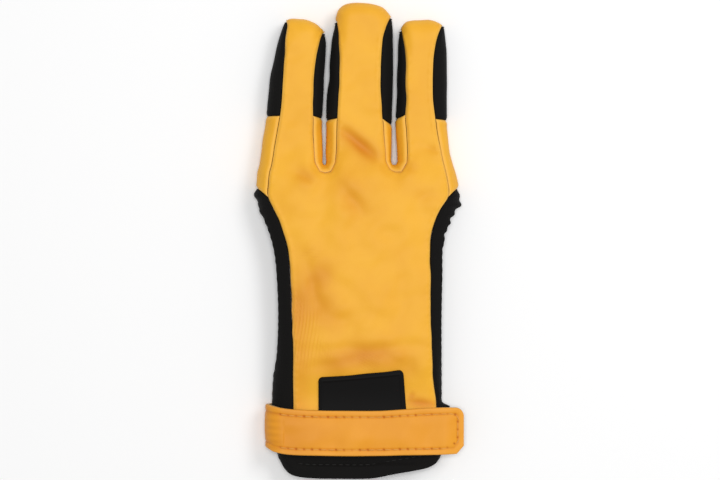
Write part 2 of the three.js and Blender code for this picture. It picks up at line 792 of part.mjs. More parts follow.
// Strap: from its sewn end under the back, round the left edge, over the face to the tongue
const strap_middle_y = (strap_low_y + strap_top_y) / 2;
const strap_round = (top_at(strap_middle_y) + label_room + strap_wall) / 2;
const strap_left = Math.min(hand_edge("left", strap_low_y), hand_edge("left", strap_top_y));
const glove_right = hand_edge("right", strap_middle_y);
const tongue_x = glove_right + tongue_overhang;
function strap_route() {
  const turn_x = strap_left - strap_side_gap - strap_wall + strap_round;
  const under = steps(9).map((t) => [mix(sewn_end, turn_x, t), 0, -90]);
  const around = steps(8)
    .slice(1, -1)
    .map((t) => {
      const turn = mix(270, 90, t);
      const x = turn_x + strap_round * Math.cos(radians(turn));
      return [x, strap_round + strap_round * Math.sin(radians(turn)), turn];
    });
  const over_z = 2 * strap_round;
  const flat = steps(11).map((t) => [mix(turn_x, glove_right - 2, t), over_z, 90]);
  const tongue_xs = [0.3, 0.6, 0.82].map((t) => mix(glove_right - 2, tongue_x, t));
  const corner_xs = steps(3).map((t) => tongue_x - tongue_corner * (1 - Math.sin((t * Math.PI) / 2)));
  const tongue = [...tongue_xs.filter((x) => x < corner_xs[0] - 0.5), ...corner_xs].map((x) => [
    x,
    over_z - tongue_droop * ease((x - glove_right) / tongue_overhang),
    90,
  ]);
  return [...under, ...around, ...flat, ...tongue];
}
function wrist_strap() {
  const route = strap_route();
  const normals = new Map();
  const net = route.map(([x, z, turn]) => {
    const bow = strap_bow * ease((x - strap_left) / 22) * (1 - 0.5 * ease(x / tongue_x));
    const past = Math.max(0, x - tongue_x + tongue_corner) / tongue_corner;
    const round = tongue_corner * (1 - Math.sqrt(Math.max(0, 1 - past * past)));
    const low = strap_low_y - bow + strap_bow / 2 + round * 0.8;
    const high = strap_top_y - bow + strap_bow / 2 - round;
    return steps(4).map((t) => {
      const p = [x, mix(low, high, t), z];
      normals.set(p.join(), [Math.cos(radians(turn)), 0, Math.sin(radians(turn))]);
      return p;
    });
  });
  const normal = (p) => new THREE.Vector3(...normals.get(p.join()));
  return wall("wrist_strap", [flip(net)], strap_wall, strap_leather, { normal, back: 0 });
}

// Thin piece laid on the face: a net of places raised off the skin by the seam gap
function laid(name, rows, thickness, finish) {
  const normals = new Map();
  const net = rows.map((row) =>
    row.map((place) => {
      const foot = on_top(place);
      const normal = normal_at(foot);
      const raised = new THREE.Vector3(...foot).addScaledVector(normal, seam_gap + thickness);
      const p = raised.toArray();
      normals.set(p.join(), normal);
      return p;
    }),
  );
  const normal = (p) => normals.get(p.join());
  return wall(name, [net], thickness, finish, { normal, back: 0 });
}

// Label: a thin patch with two round corners, its foot tucked under the strap
function label_patch() {
  const low = strap_top_y - label_tuck;
  const rows = steps(5).map((t) => {
    const y_share = 1 - (1 - t) ** 1.3;
    const past = Math.max(0, y_share * label_height - label_height + label_corner) / label_corner;
    const round = label_corner * (1 - Math.sqrt(Math.max(0, 1 - past * past)));
    const left = label_middle - label_width / 2 + round;
    const right = label_middle + label_width / 2 - round - label_lean * y_share;
    return steps(8).map((u) => [
      mix(left, right, u),
      low + y_share * (label_height + label_slant * u ** 1.2),
    ]);
  });
  return laid("label_patch", rows, label_wall, label_rubber);
}

// Hidden clasp under the tongue, one plain piece on the cuff
function hook_loop_patch() {
  const right = glove_right - patch_inset;
  const low = strap_low_y + patch_rise;
  const high = low + patch_height;
  const rows = steps(3).map((t) =>
    steps(4).map((u) => [mix(right - patch_width, right, u), mix(low, high, t)]),
  );
  return laid("hook_loop_patch", rows, patch_wall, stretch_fabric);
}

const glove = new THREE.Group();
glove.add(
  face_panel(),
  back_panel(),
  fourchette("fourchette_ring_middle", 0),
  fourchette("fourchette_middle_index", 1),
  side_panel("side_panel_ring", 0, "left"),
  side_panel("side_panel_index", 2, "right"),
  hem("little_finger_hem", "left", LEFT_RUFFLES),
  hem("thumb_hem", "right", RUFFLES),
  cuff(),
  wrist_strap(),
  label_patch(),
  hook_loop_patch(),
);

export default glove;
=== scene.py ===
# %% [markdown]
# # Three-finger archery glove, laid flat
# The glove lies on a pale table with its leather face up. A real one is cut from soft cowhide and
# stretch fabric, sewn inside out and turned. Here each piece is a wall of its own, laid over the
# same flat-tube section as the CAD, at a much finer step. Millimetres are turned into metres once,
# where a mesh is made.

import math

import bpy
import numpy as np
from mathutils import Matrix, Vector, kdtree


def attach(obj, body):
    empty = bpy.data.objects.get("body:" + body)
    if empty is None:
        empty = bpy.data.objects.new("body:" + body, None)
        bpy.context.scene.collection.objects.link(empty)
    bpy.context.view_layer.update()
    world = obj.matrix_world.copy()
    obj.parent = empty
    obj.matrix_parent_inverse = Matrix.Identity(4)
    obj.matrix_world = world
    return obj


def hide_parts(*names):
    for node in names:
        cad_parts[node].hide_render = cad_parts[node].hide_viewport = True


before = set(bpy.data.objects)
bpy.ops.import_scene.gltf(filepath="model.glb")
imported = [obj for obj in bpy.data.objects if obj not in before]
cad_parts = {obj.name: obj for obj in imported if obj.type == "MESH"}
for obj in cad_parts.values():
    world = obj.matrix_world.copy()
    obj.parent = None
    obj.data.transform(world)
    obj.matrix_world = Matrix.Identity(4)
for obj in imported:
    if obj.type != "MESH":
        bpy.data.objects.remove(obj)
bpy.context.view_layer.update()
seeded = np.random.default_rng(7)
print("CAD pieces:", sorted(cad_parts))

# %% [markdown]
# ## Sizes
# The sizes are those of the CAD source, in millimetres: a medium hand's stalls laid flat, a waist
# drawn in by elastic and a strap a little wider than a watch's.

# %% Sizes
middle_length, ring_length, index_length = 78.3, 70.3, 69.6
hand_length = 150.5
middle_width, ring_width, index_width = 30.7, 25.9, 24.2
finger_gap = 2.2
knuckle_width, waist_width, wrist_width, mouth_width = 97, 78.7, 82.6, 75
stall_height, hand_height, wrist_height, mouth_height = 15, 17.5, 12, 14
palm_crown = 2.2
crotch_blend = 12
strip_width = 4.8
fourchette_length = 23
end_spread = 7
face_wall, fabric_wall = 1.2, 1.0
fold_depth = 1.1
opening_height = 9
ruffle_depth = 2.2
seam_gap = 0.3
strap_side_gap = 1.2
strap_width, strap_wall, strap_rise = 21.6, 1.9, 11.3
tongue_overhang, tongue_corner, tongue_round, sewn_end = 10.4, 3, 4.2, 30
tongue_droop = 1.6
label_width, label_height, label_wall, label_corner = 42.2, 17.6, 1, 2.0
label_middle, label_tuck, label_slant, label_lean = 1.2, 1.6, 3.3, 1.6
patch_width, patch_height, patch_wall, patch_inset, patch_rise = 20, 14.6, 1, 4.5, 2

mouth_y = -(hand_length + middle_length) / 2
crotch_y = mouth_y + hand_length
strips_end_y = crotch_y + fourchette_length
strap_low_y = mouth_y + strap_rise
strap_top_y = strap_low_y + strap_width
wrist_drop = 30
panel_tuck = 4
lift_lead, lift_run, lift_top, lift_top_run = 5.5, 2, 5, 4
panel_end_y = strap_top_y - panel_tuck
strap_room = strap_wall + seam_gap
label_room = label_wall + 2 * seam_gap
middle_x = 0.2
ring_x = middle_x - middle_width / 2 - finger_gap - ring_width / 2
index_x = middle_x + middle_width / 2 + finger_gap + index_width / 2

# %% [markdown]
# ## Outline tables
# The outline is read off as shares of the sizes: the hand from its mouth (0) to the crotch line
# (1), each stall from the crotch line (0) to its tip (1). Seams are shares of a side strip's width.

# %% Outline tables
# at, width it is a share of, left, right, left seam, right seam
HAND = np.array(
    [
        [-0.1, mouth_width, 0.48, 0.48, 1.8, 0.8],
        [0.0, mouth_width, 0.487, 0.493, 1.8, 0.8],
        [0.07, mouth_width, 0.518, 0.517, 1.8, 0.6],
        [0.155, wrist_width, 0.509, 0.4765, 2.1, 0.5],
        [0.244, wrist_width, 0.513, 0.4765, 2.15, 0.5],
        [0.32, wrist_width, 0.506, 0.4765, 2.0, 0.8],
        [0.4, waist_width, 0.51, 0.5, 1.67, 0.95],
        [0.52, waist_width, 0.502, 0.501, 1.4, 1.1],
        [0.65, waist_width, 0.512, 0.506, 1.4, 1.2],
        [0.725, waist_width, 0.528, 0.507, 1.45, 1.25],
        [0.78, waist_width, 0.555, 0.52, 1.45, 1.35],
        [0.82, knuckle_width, 0.474, 0.446, 1.5, 1.5],
        [0.86, knuckle_width, 0.498, 0.471, 1.35, 1.45],
        [0.9, knuckle_width, 0.511, 0.486, 1.08, 0.95],
        [0.94, knuckle_width, 0.511, 0.484, 1.1, 0.95],
        [0.975, knuckle_width, 0.51, 0.475, 1.25, 1.0],
        [1.0, knuckle_width, 0.502, 0.462, 1.26, 0.95],
    ]
)
# at, edge as a share of the stall's width, seam; then across, at for the tip; then how far the
# tan strip's end stands up or down on each side, at its face seam and at its edge
RING = {
    "left": [
        [0, -0.703, 1.26],
        [0.1, -0.664, 1.3],
        [0.225, -0.61, 1.33],
        [0.33, -0.568, 1.36],
        [0.47, -0.537, 1.4],
        [0.6, -0.498, 1.3],
        [0.72, -0.425, 1.0],
        [0.85, -0.351, 0.7],
        [0.95, -0.257, 0.35],
        [0.984, -0.211, 0],
    ],
    "right": [
        [0, 0.467, 0.55],
        [0.1, 0.467, 0.72],
        [0.33, 0.467, 0.85],
        [0.47, 0.484, 0.9],
        [0.6, 0.502, 0.9],
        [0.72, 0.521, 0.85],
        [0.83, 0.53, 0.5],
        [0.902, 0.503, 0],
    ],
    "tip": [
        [-0.108, 1.0],
        [0.04, 1.0],
        [0.151, 0.998],
        [0.297, 0.98],
        [0.39, 0.958],
        [0.466, 0.928],
    ],
    "ends": {"left": (0.5, 0.5), "right": (0.5, -0.5)},
}
MIDDLE = {
    "left": [
        [0, -0.528, 0.78],
        [0.12, -0.536, 0.98],
        [0.3, -0.536, 1.1],
        [0.42, -0.5225, 1.1],
        [0.53, -0.491, 1.0],
        [0.64, -0.4756, 0.9],
        [0.76, -0.444, 0.6],
        [0.83, -0.413, 0.3],
        [0.881, -0.382, 0],
    ],
    "right": [
        [0, 0.48, 0.4],
        [0.12, 0.486, 0.6],
        [0.3, 0.486, 0.85],
        [0.42, 0.501, 1.1],
        [0.53, 0.509, 1.2],
        [0.76, 0.5095, 1.0],
        [0.84, 0.505, 0.6],
        [0.905, 0.478, 0],
    ],
    "tip": [
        [-0.35, 0.942],
        [-0.257, 0.979],
        [-0.132, 0.994],
        [0.025, 1.0],
        [0.212, 0.991],
        [0.37, 0.96],
    ],
    "ends": {"left": (-0.7, -1.4), "right": (-0.9, -3.6)},
}
INDEX = {
    "left": [
        [0, -0.49, 0.85],
        [0.1, -0.4975, 0.97],
        [0.225, -0.515, 0.99],
        [0.33, -0.515, 0.85],
        [0.47, -0.4975, 0.85],
        [0.6, -0.4975, 0.8],
        [0.72, -0.478, 0.7],
        [0.85, -0.472, 0.4],
        [0.93, -0.435, 0],
    ],
    "right": [
        [0, 0.62, 0.95],
        [0.1, 0.545, 0.9],
        [0.225, 0.5, 0.98],
        [0.33, 0.494, 1.17],
        [0.47, 0.494, 1.4],
        [0.72, 0.494, 1.35],
        [0.83, 0.48, 1.0],
        [0.92, 0.46, 0.5],
        [0.965, 0.425, 0],
    ],
    "tip": [
        [-0.4, 0.958],
        [-0.329, 0.985],
        [-0.219, 0.997],
        [-0.021, 1.0],
        [0.215, 1.0],
        [0.336, 0.986],
    ],
    "ends": {"left": (1.0, -0.8), "right": (-1.0, -1.5)},
}
# turn, across, down: the seam round the bottom of each gap between two stalls
LEFT_CROTCH = np.array([[230, -0.38, 0.82], [270, 0.08, 0.95], [310, 0.6, 0.85]])
RIGHT_CROTCH = np.array([[230, -0.36, 0.78], [270, 0.1, 1.0], [310, 0.66, 1.0]])
# across, at, run, breadth, depth, turn: broad dents and folds of the face
FOLDS = [
    [0.0, 1.065, 0.12, 0.03, 0.9, -40],
    [-0.265, 0.96, 0.05, 0.03, 0.5, -35],
    [-0.06, 0.9, 0.12, 0.045, 0.7, -55],
    [-0.235, 0.62, 0.14, 0.035, 0.6, -76],
    [-0.11, 0.505, 0.1, 0.04, 0.5, -12],
    [0.0, 0.415, 0.22, 0.035, 1.1, 2],
    [-0.17, 0.96, 0.055, 0.12, 1.2, 0],
    [0.17, 0.96, 0.055, 0.12, 1.2, 0],
    [0.2, 0.6, 0.05, 0.2, 0.5, 0],
]
# at, breadth, depth: gathers pushed out from the hems
RUFFLES = [
    [0.9, 0.014, 0.25],
    [0.872, 0.017, 1.05],
    [0.84, 0.009, 0.35],
    [0.809, 0.011, 0.4],
    [0.79, 0.009, 0.2],
    [0.756, 0.012, 0.3],
    [0.228, 0.008, 1.9],
]
LEFT_RUFFLES = [[0.905, 0.016, 0.6], [0.852, 0.009, 0.4]]
# at, gape: half height of the side openings
OPENING = np.array(
    [[0.34, 0], [0.4, 0.25], [0.5, 0.42], [0.65, 0.5], [0.75, 0.45], [0.82, 0.28], [0.86, 0]]
)
# across, back: how far the cuff's rim stands back from the mouth line
RIM = np.array(
    [
        [0, 0.85],
        [0.009, 0.7],
        [0.02, 0.44],
        [0.047, 0.19],
        [0.1, 0.065],
        [0.18, 0.01],
        [0.35, 0],
        [0.56, 0.01],
        [0.72, 0.19],
        [0.85, 0.34],
        [0.93, 0.46],
        [0.975, 0.66],
        [1, 0.95],
    ]
)
# x, lower edge, upper edge of the strap as it lies over the wrist
STRAP_EDGE = np.array(
    [
        [-47.0, -99.4, -78.9],
        [-45.1, -99.8, -79.0],
        [-41.8, -101.3, -79.7],
        [-33.6, -102.7, -80.9],
        [-19.2, -103.2, -81.6],
        [-4.8, -103.4, -81.7],
        [9.6, -103.3, -81.7],
        [21.6, -103.0, -81.0],
        [38.9, -102.7, -80.2],
        [50.0, -102.2, -80.2],
    ]
)

# %% [markdown]
# ## The glove's skin
# A glove laid flat is a flat tube whose sides are round. Every place on it follows from how far it
# lies inside the outline. A formula gives every piece the same skin, so that the seams meet.


# %% Skin of the glove
def mix(a, b, t):
    return a + (b - a) * t


def ease(t):
    held = np.clip(t, 0, 1)
    return held * held * (3 - 2 * held)


def read(rows, at, column=1, key=0, values=None):
    """A column of a table between its rows, on a smooth curve through them."""
    rows = np.asarray(rows, float)
    x = rows[:, key]
    v = rows[:, column] if values is None else values
    low = np.maximum(np.arange(len(x)) - 1, 0)
    high = np.minimum(np.arange(len(x)) + 1, len(x) - 1)
    slope = (v[high] - v[low]) / (x[high] - x[low])
    i = np.clip(np.searchsorted(x, at, side="right") - 1, 0, len(x) - 2)
    run = x[i + 1] - x[i]
    t = np.clip((at - x[i]) / run, 0, 1)
    bend = t * (1 - t) * run
    return mix(v[i], v[i + 1], ease(t)) + bend * ((1 - t) * slope[i] - t * slope[i + 1])


def hand_edge(side, y):
    share = (np.asarray(y, float) - mouth_y) / hand_length
    column, sign = (2, -1) if side == "left" else (3, 1)
    return read(HAND, share, values=sign * HAND[:, column] * HAND[:, 1])


def hand_seam(side, y):
    share = (np.asarray(y, float) - mouth_y) / hand_length
    return read(HAND, share, column=4 if side == "left" else 5) * strip_width


def spaced(points, count):
    """Points at even distances along a polyline."""
    points = np.asarray(points, float)
    runs = np.concatenate([[0], np.cumsum(np.linalg.norm(np.diff(points, axis=0), axis=1))])
    at = np.linspace(0, runs[-1], count)
    return np.stack([np.interp(at, runs, points[:, k]) for k in range(points.shape[1])], 1)


def smooth_curve(points, each=40):
    """Centripetal curve through points."""
    p = np.asarray(points, float)
    p = np.vstack([2 * p[0] - p[1], p, 2 * p[-1] - p[-2]])
    t = np.linspace(0, 1, each, endpoint=False)[:, None]
    parts = []
    for i in range(1, len(p) - 2):
        d0, d1, d2 = (np.linalg.norm(p[i + k] - p[i + k - 1]) ** 0.5 for k in range(3))
        m1 = (p[i] - p[i - 1]) / d0 - (p[i + 1] - p[i - 1]) / (d0 + d1) + (p[i + 1] - p[i]) / d1
        m2 = (p[i + 1] - p[i]) / d1 - (p[i + 2] - p[i]) / (d1 + d2) + (p[i + 2] - p[i + 1]) / d2
        m1, m2 = m1 * d1, m2 * d1
        bend = t * (1 - t)
        curve = mix(p[i], p[i + 1], t * t * (3 - 2 * t)) + bend * ((1 - t) * m1 - t * m2)
        parts.append(curve)
    return np.vstack([*parts, p[-2][None]])


def stall(rows, centre, width, length):
    """One stall's edges, seams, corners and tip."""

    def edge(side, y):
        return centre + read(rows[side], (np.asarray(y, float) - crotch_y) / length) * width

    def seam(side, y):
        at = (np.asarray(y, float) - crotch_y) / length
        return read(rows[side], at, column=2) * strip_width

    def corner(side):
        y = crotch_y + rows[side][-1][0] * length
        return np.array([float(edge(side, y)), y])

    tips = [[centre + across * width, crotch_y + at * length] for across, at in rows["tip"]]
    tip = smooth_curve([corner("left"), *tips, corner("right")])
    return {"edge": edge, "seam": seam, "corner": corner, "tip": tip, "ends": rows["ends"]}


stalls = [
    stall(RING, ring_x, ring_width, ring_length),
    stall(MIDDLE, middle_x, middle_width, middle_length),
    stall(INDEX, index_x, index_width, index_length),
]


def crotch(before, after, rows):
    left = float(before["edge"]("right", crotch_y))
    right = float(after["edge"]("left", crotch_y))
    radius = (right - left) / 2
    centre = np.array([(left + right) / 2, crotch_y + radius])
    return {"centre": centre, "radius": radius, "rows": rows}


crotches = [crotch(stalls[0], stalls[1], LEFT_CROTCH), crotch(stalls[1], stalls[2], RIGHT_CROTCH)]


def side_points(of, side, low):
    y = np.linspace(low, of["corner"](side)[1], 60)
    return np.stack([of["edge"](side, y), y], 1)


def arc_points(at):
    turn = np.radians(np.linspace(360, 180, 24)[1:-1])
    ring_of = np.stack([np.cos(turn), np.sin(turn)], 1)
    return at["centre"] + at["radius"] * ring_of


hand_y = np.linspace(mouth_y - 20, crotch_y, 160)[:-1]
outline = [np.stack([hand_edge("right", hand_y), hand_y], 1)]
for number in (2, 1, 0):
    of = stalls[number]
    right_low = crotch_y if number == 2 else crotches[number]["centre"][1]
    left_low = crotch_y if number == 0 else crotches[number - 1]["centre"][1]
    outline.append(side_points(of, "right", right_low))
    outline.append(spaced(of["tip"], 40)[::-1][1:-1])
    outline.append(side_points(of, "left", left_low)[::-1])
    if number:
        outline.append(arc_points(crotches[number - 1]))
outline.append(np.stack([hand_edge("left", hand_y), hand_y], 1)[::-1])
outline = np.vstack(outline)


def inset(x, y):
    """How far places lie inside the outline, less than nothing outside it."""
    x, y = np.broadcast_arrays(np.asarray(x, float), np.asarray(y, float))
    places = np.stack([x.ravel(), y.ravel()], 1)
    a = outline[:-1]
    run = outline[1:] - a
    square = np.maximum((run * run).sum(1), 1e-12)
    found = np.empty(len(places))
    for start in range(0, len(places), 2000):
        off = places[start : start + 2000, None, :] - a
        t = np.clip((off * run).sum(2) / square, 0, 1)
        gap = off - t[..., None] * run
        reach = np.hypot(gap[..., 0], gap[..., 1])
        nearest = reach.argmin(1)
        rows = np.arange(len(nearest))
        cross = run[nearest, 0] * off[rows, nearest, 1] - run[nearest, 1] * off[rows, nearest, 0]
        found[start : start + 2000] = np.where(cross < 0, -1, 1) * reach[rows, nearest]
    return found.reshape(x.shape)


def past_rim(y):
    return ease((y - strap_low_y + lift_lead) / lift_run)


def past_crotch(y):
    return ease((y - crotch_y + crotch_blend) / (2 * crotch_blend))


def over_strap(y):
    return ease((strap_top_y + wrist_drop - y) / (wrist_drop - label_tuck)) * past_rim(y)


def top_at(y):
    palm = mix(hand_height, stall_height, past_crotch(y))
    body = mix(mouth_height, palm, ease((y - strap_low_y) / strap_width))
    return mix(body, strap_room + wrist_height, over_strap(y))


def lift_at(y):
    return strap_room * ease((strap_top_y + lift_top - y) / lift_top_run) * past_rim(y)


def middle_at(y):
    return (lift_at(y) + top_at(y)) / 2


def side_radius(y):
    return (top_at(y) - lift_at(y)) / 2


def relief(x, y):
    """Broad folds and the crown of the face."""
    total = np.zeros(np.broadcast(x, y).shape)
    for across, at, run, breadth, depth, turn in FOLDS:
        c, s = math.cos(math.radians(turn)), math.sin(math.radians(turn))
        dx = x - across * knuckle_width
        dy = y - mouth_y - at * hand_length
        along = (dx * c + dy * s) / (run * knuckle_width)
        off = (dy * c - dx * s) / (breadth * knuckle_width)
        total -= depth * fold_depth * np.exp(-along * along - off * off)
    left, right = hand_edge("left", y), hand_edge("right", y)
    across = (2 * x - left - right) / (right - left)
    crown = palm_crown * np.maximum(0, 1 - across * across)
    return (total + crown * (1 - past_crotch(y))) * (1 - over_strap(y))


def roundness(x, y):
    rest = 1 - np.minimum(1, np.maximum(0, inset(x, y)) / side_radius(y))
    return np.sqrt(1 - rest * rest)


def on_top(places):
    x, y = places[..., 0], places[..., 1]
    z = mix(middle_at(y), top_at(y) + relief(x, y), roundness(x, y))
    return np.stack([x, y, z], -1)


def on_back(places):
    x, y = places[..., 0], places[..., 1]
    return np.stack([x, y, mix(middle_at(y), lift_at(y), roundness(x, y))], -1)


def on_edge(places):
    x, y = places[..., 0], places[..., 1]
    return np.stack([x, y, middle_at(y)], -1)


print(f"outline: {len(outline)} points, {np.ptp(outline[:, 0]):.1f} mm across")

# %% [markdown]
# ## A wall with thickness
# Leather and fabric pieces are cut from sheet. A net of points on the skin becomes an outer side,
# the same net moved in by the wall's thickness becomes the inner side, and a rim joins them. Along
# its rim a piece turns in towards its seam, with a low bead beside it that puckers at each stitch.


# %% Wall builder
def unit(vectors):
    return vectors / np.maximum(np.linalg.norm(vectors, axis=-1, keepdims=True), 1e-12)


def normals_of(points, corners):
    a, b, c, d = (points[corners[:, k]] for k in range(4))
    cross = np.cross(c - a, d - b)
    total = np.zeros_like(points)
    for k in range(4):
        np.add.at(total, corners[:, k], cross)
    return unit(total)


def rim_of(corners):
    """Directed edges that only one face has, in loops."""
    following = {}
    taken = set()
    for face in corners.tolist():
        for k in range(4):
            a, b = face[k], face[(k + 1) % 4]
            if a != b:
                taken.add((a, b))
    for a, b in taken:
        if (b, a) not in taken:
            following[a] = b
    loops = []
    left = set(following)
    while left:
        at = min(left)
        loop = []
        while at in left:
            left.discard(at)
            loop.append(at)
            at = following[at]
        loops.append(loop)
    return loops


def beside_rim(points, loops, spread=9.0):
    """Distance of every point to the rim, and how far along the rim its nearest place is."""
    runs = {}
    total = 0.0
    for loop in loops:
        for a, b in zip(loop, loop[1:] + loop[:1]):
            runs[a] = total
            total += float(np.linalg.norm(points[b] - points[a]))
        total += 20
    tree = kdtree.KDTree(len(runs))
    for place in runs:
        tree.insert(points[place], place)
    tree.balance()
    away = np.full(len(points), spread)
    along = np.zeros(len(points))
    for i, p in enumerate(points):
        _, place, reach = tree.find(p)
        away[i] = min(reach, spread)
        along[i] = runs[place]
    return away, along


def wall(
    name, nets, thickness, finishes, shape=None, back=seam_gap / 2, replaces=None, facing=None
):
    """A closed wall from nets of outer points. shape gives each point's rise and its tone, which on
    the leather face and strap is painted shade, with some painted highlight on the strap.
    """
    nets = [np.asarray(net, float) for net in nets]
    flat = np.concatenate([net.reshape(-1, 3) for net in nets])
    keys = np.round(flat * 200).astype(np.int64)
    _, first, ids = np.unique(keys, axis=0, return_index=True, return_inverse=True)
    ids = ids.reshape(-1)
    points = flat[first]
    corners = []
    start = 0
    for net in nets:
        count = net.shape[0] * net.shape[1]
        grid = ids[start : start + count].reshape(net.shape[:2])
        start += count
        quads = [grid[:-1, :-1], grid[:-1, 1:], grid[1:, 1:], grid[1:, :-1]]
        corners.append(np.stack(quads, -1).reshape(-1, 4))
    corners = np.concatenate(corners)
    faces = [[v for k, v in enumerate(f) if v != f[k - 1]] for f in corners.tolist()]
    keep = [k for k, f in enumerate(faces) if len(f) > 2]
    faces = [faces[k] for k in keep]
    corners = corners[keep]
    loops = rim_of(corners)
    normals = facing(points) if facing else normals_of(points, corners)
    inward = {}
    for loop in loops:
        for before, at, after in zip(loop[-1:] + loop[:-1], loop, loop[1:] + loop[:1]):
            step = np.cross(normals[at], points[after] - points[before])
            inward[at] = step / max(float(np.linalg.norm(step)), 1e-9)
    for at, step in inward.items():
        points[at] = points[at] + back * step
    away, along = beside_rim(points, loops)
    tone = np.zeros(len(points))
    if shape:
        rise, tone = shape(points, normals, away, along)
        points = points + normals * rise[:, None]
        points[:, 2] = np.maximum(points[:, 2], 0.01)
        normals = normals if facing else normals_of(points, corners)
    inner = points - normals * thickness
    count = len(points)
    outer_faces = len(faces)
    faces += [[v + count for v in reversed(face)] for face in faces]
    for loop in loops:
        for a, b in zip(loop, loop[1:] + loop[:1]):
            faces.append([b, a, a + count, b + count])
    mesh = bpy.data.meshes.new(name)
    mesh.from_pydata(np.vstack([points, inner]) * 0.001, [], faces)
    mesh.update()
    for finish in finishes:
        mesh.materials.append(finish)
    slots = np.zeros(len(faces), np.int32)
    slots[outer_faces : 2 * outer_faces] = 1
    slots[2 * outer_faces :] = 2
    mesh.polygons.foreach_set("material_index", slots)
    mesh.polygons.foreach_set("use_smooth", np.ones(len(faces), bool))
    # rim is nearness to the rim; the leather finishes pale the outer side there as a painted
    # highlight
    for title, values in (("tone", tone), ("rim", np.exp(-((away / 1.1) ** 2)))):
        attribute = mesh.attributes.new(title, "FLOAT", "POINT")
        attribute.data.foreach_set("value", np.concatenate([values, values]).astype(np.float32))
    obj = bpy.data.objects.new(name, mesh)
    bpy.context.scene.collection.objects.link(obj)
    if replaces:
        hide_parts(replaces)
    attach(obj, "root")
    print(f"{name}: {len(faces)} faces, {len(loops)} rim loops")
    return obj


# %% [markdown]
# ## Finishes
# Tan cowhide with a pored grain, darkened with painted shade where it folds and paled with a painted
# highlight where it turns over a seam. Its flesh side is suede. The stretch fabric is a fine black
# knit with a faint sheen. Patterns are worked out from each place on the object, at the sizes that
# they have on a real glove.


# %% Finishes
def colour(code):
    """A linear colour from an sRGB hex code."""
    parts = [int(code[k : k + 2], 16) / 255 for k in (0, 2, 4)]
    linear = [p / 12.92 if p <= 0.04045 else ((p + 0.055) / 1.055) ** 2.4 for p in parts]
    return (*linear, 1.0)


def node(tree, kind, inputs=(), **settings):
    """Add a node with its settings, constants and links."""
    made = tree.nodes.new(kind)
    for name, value in settings.items():
        setattr(made, name, value)
    for socket, value in dict(inputs).items():
        if isinstance(value, bpy.types.NodeSocket):
            tree.links.new(value, made.inputs[socket])
        else:
            made.inputs[socket].default_value = value
    return made


def material(name, roughness, **settings):
    """A new material, and its tree and shader."""
    made = bpy.data.materials.new(name)
    made.use_nodes = True
    tree = made.node_tree
    shader = tree.nodes["Principled BSDF"]
    shader.inputs["Roughness"].default_value = roughness
    for socket, value in settings.items():
        shader.inputs[socket.replace("_", " ")].default_value = value
    return made, tree, shader


def leather(name, base, dark, pale, roughness):
    made, tree, shader = material(name, roughness, IOR=1.5, Specular_IOR_Level=0.3)
    place = node(tree, "ShaderNodeTexCoord").outputs["Object"]
    clouds = node(
        tree, "ShaderNodeTexNoise", {"Vector": place, "Scale": 45, "Detail": 3, "Roughness": 0.6}
    )
    shades = node(
        tree,
        "ShaderNodeMapRange",
        {"Value": clouds.outputs["Fac"], "From Min": 0.35, "From Max": 0.75, "To Max": 0.18},
    )
    # the tone attribute is painted shade, with some painted highlight on the strap; it is added to
    # the random mottling and mixes towards the dark colour
    tone = node(tree, "ShaderNodeAttribute", attribute_name="tone")
    depth = node(
        tree,
        "ShaderNodeMath",
        {0: shades.outputs["Result"], 1: tone.outputs["Fac"]},
        operation="ADD",
        use_clamp=True,
    )
    skin = node(tree, "ShaderNodeMix", {0: depth.outputs[0]}, data_type="RGBA")
    skin.inputs[6].default_value = colour(base)
    skin.inputs[7].default_value = colour(dark)
    # painted highlight: the outer side pales towards the pale colour along each rim
    rim = node(tree, "ShaderNodeAttribute", attribute_name="rim")
    rim_highlight = node(tree, "ShaderNodeMath", {0: rim.outputs["Fac"], 1: 0.3}, operation="MULTIPLY")
    edged = node(tree, "ShaderNodeMix", {"Factor": rim_highlight.outputs[0]}, data_type="RGBA")
    tree.links.new(skin.outputs[2], edged.inputs[6])
    edged.inputs[7].default_value = colour(pale)
    tree.links.new(edged.outputs[2], shader.inputs["Base Color"])
    pores = node(tree, "ShaderNodeTexVoronoi", {"Vector": place, "Scale": 1300, "Randomness": 1})
    fine = node(tree, "ShaderNodeTexNoise", {"Vector": place, "Scale": 900, "Detail": 4})
    grain = node(
        tree,
        "ShaderNodeMath",
        {0: pores.outputs["Distance"], 1: fine.outputs["Fac"]},
        operation="ADD",
    )
    bump = node(
        tree,
        "ShaderNodeBump",
        {"Height": grain.outputs[0], "Strength": 0.35, "Distance": 0.00006},
    )
    tree.links.new(bump.outputs["Normal"], shader.inputs["Normal"])
    return made


def knit(name, base, pitch, roughness, sheen):
    made, tree, shader = material(
        name, roughness, IOR=1.5, Specular_IOR_Level=0.15, Sheen_Weight=sheen, Sheen_Roughness=0.4
    )
    shader.inputs["Base Color"].default_value = colour(base)
    place = node(tree, "ShaderNodeTexCoord").outputs["Object"]
    scale = 0.314 / pitch
    ribs = node(
        tree,
        "ShaderNodeTexWave",
        {"Vector": place, "Scale": scale, "Distortion": 0.6},
        bands_direction="X",
    )
    courses = node(
        tree,
        "ShaderNodeTexWave",
        {"Vector": place, "Scale": scale * 1.3, "Distortion": 0.8},
        bands_direction="Y",
    )
    loops = node(
        tree,
        "ShaderNodeMath",
        {0: ribs.outputs["Fac"], 1: courses.outputs["Fac"]},
        operation="MAXIMUM",
    )
    bump = node(
        tree,
        "ShaderNodeBump",
        {"Height": loops.outputs[0], "Strength": 0.6, "Distance": 0.00012},
    )
    tree.links.new(bump.outputs["Normal"], shader.inputs["Normal"])
    return made


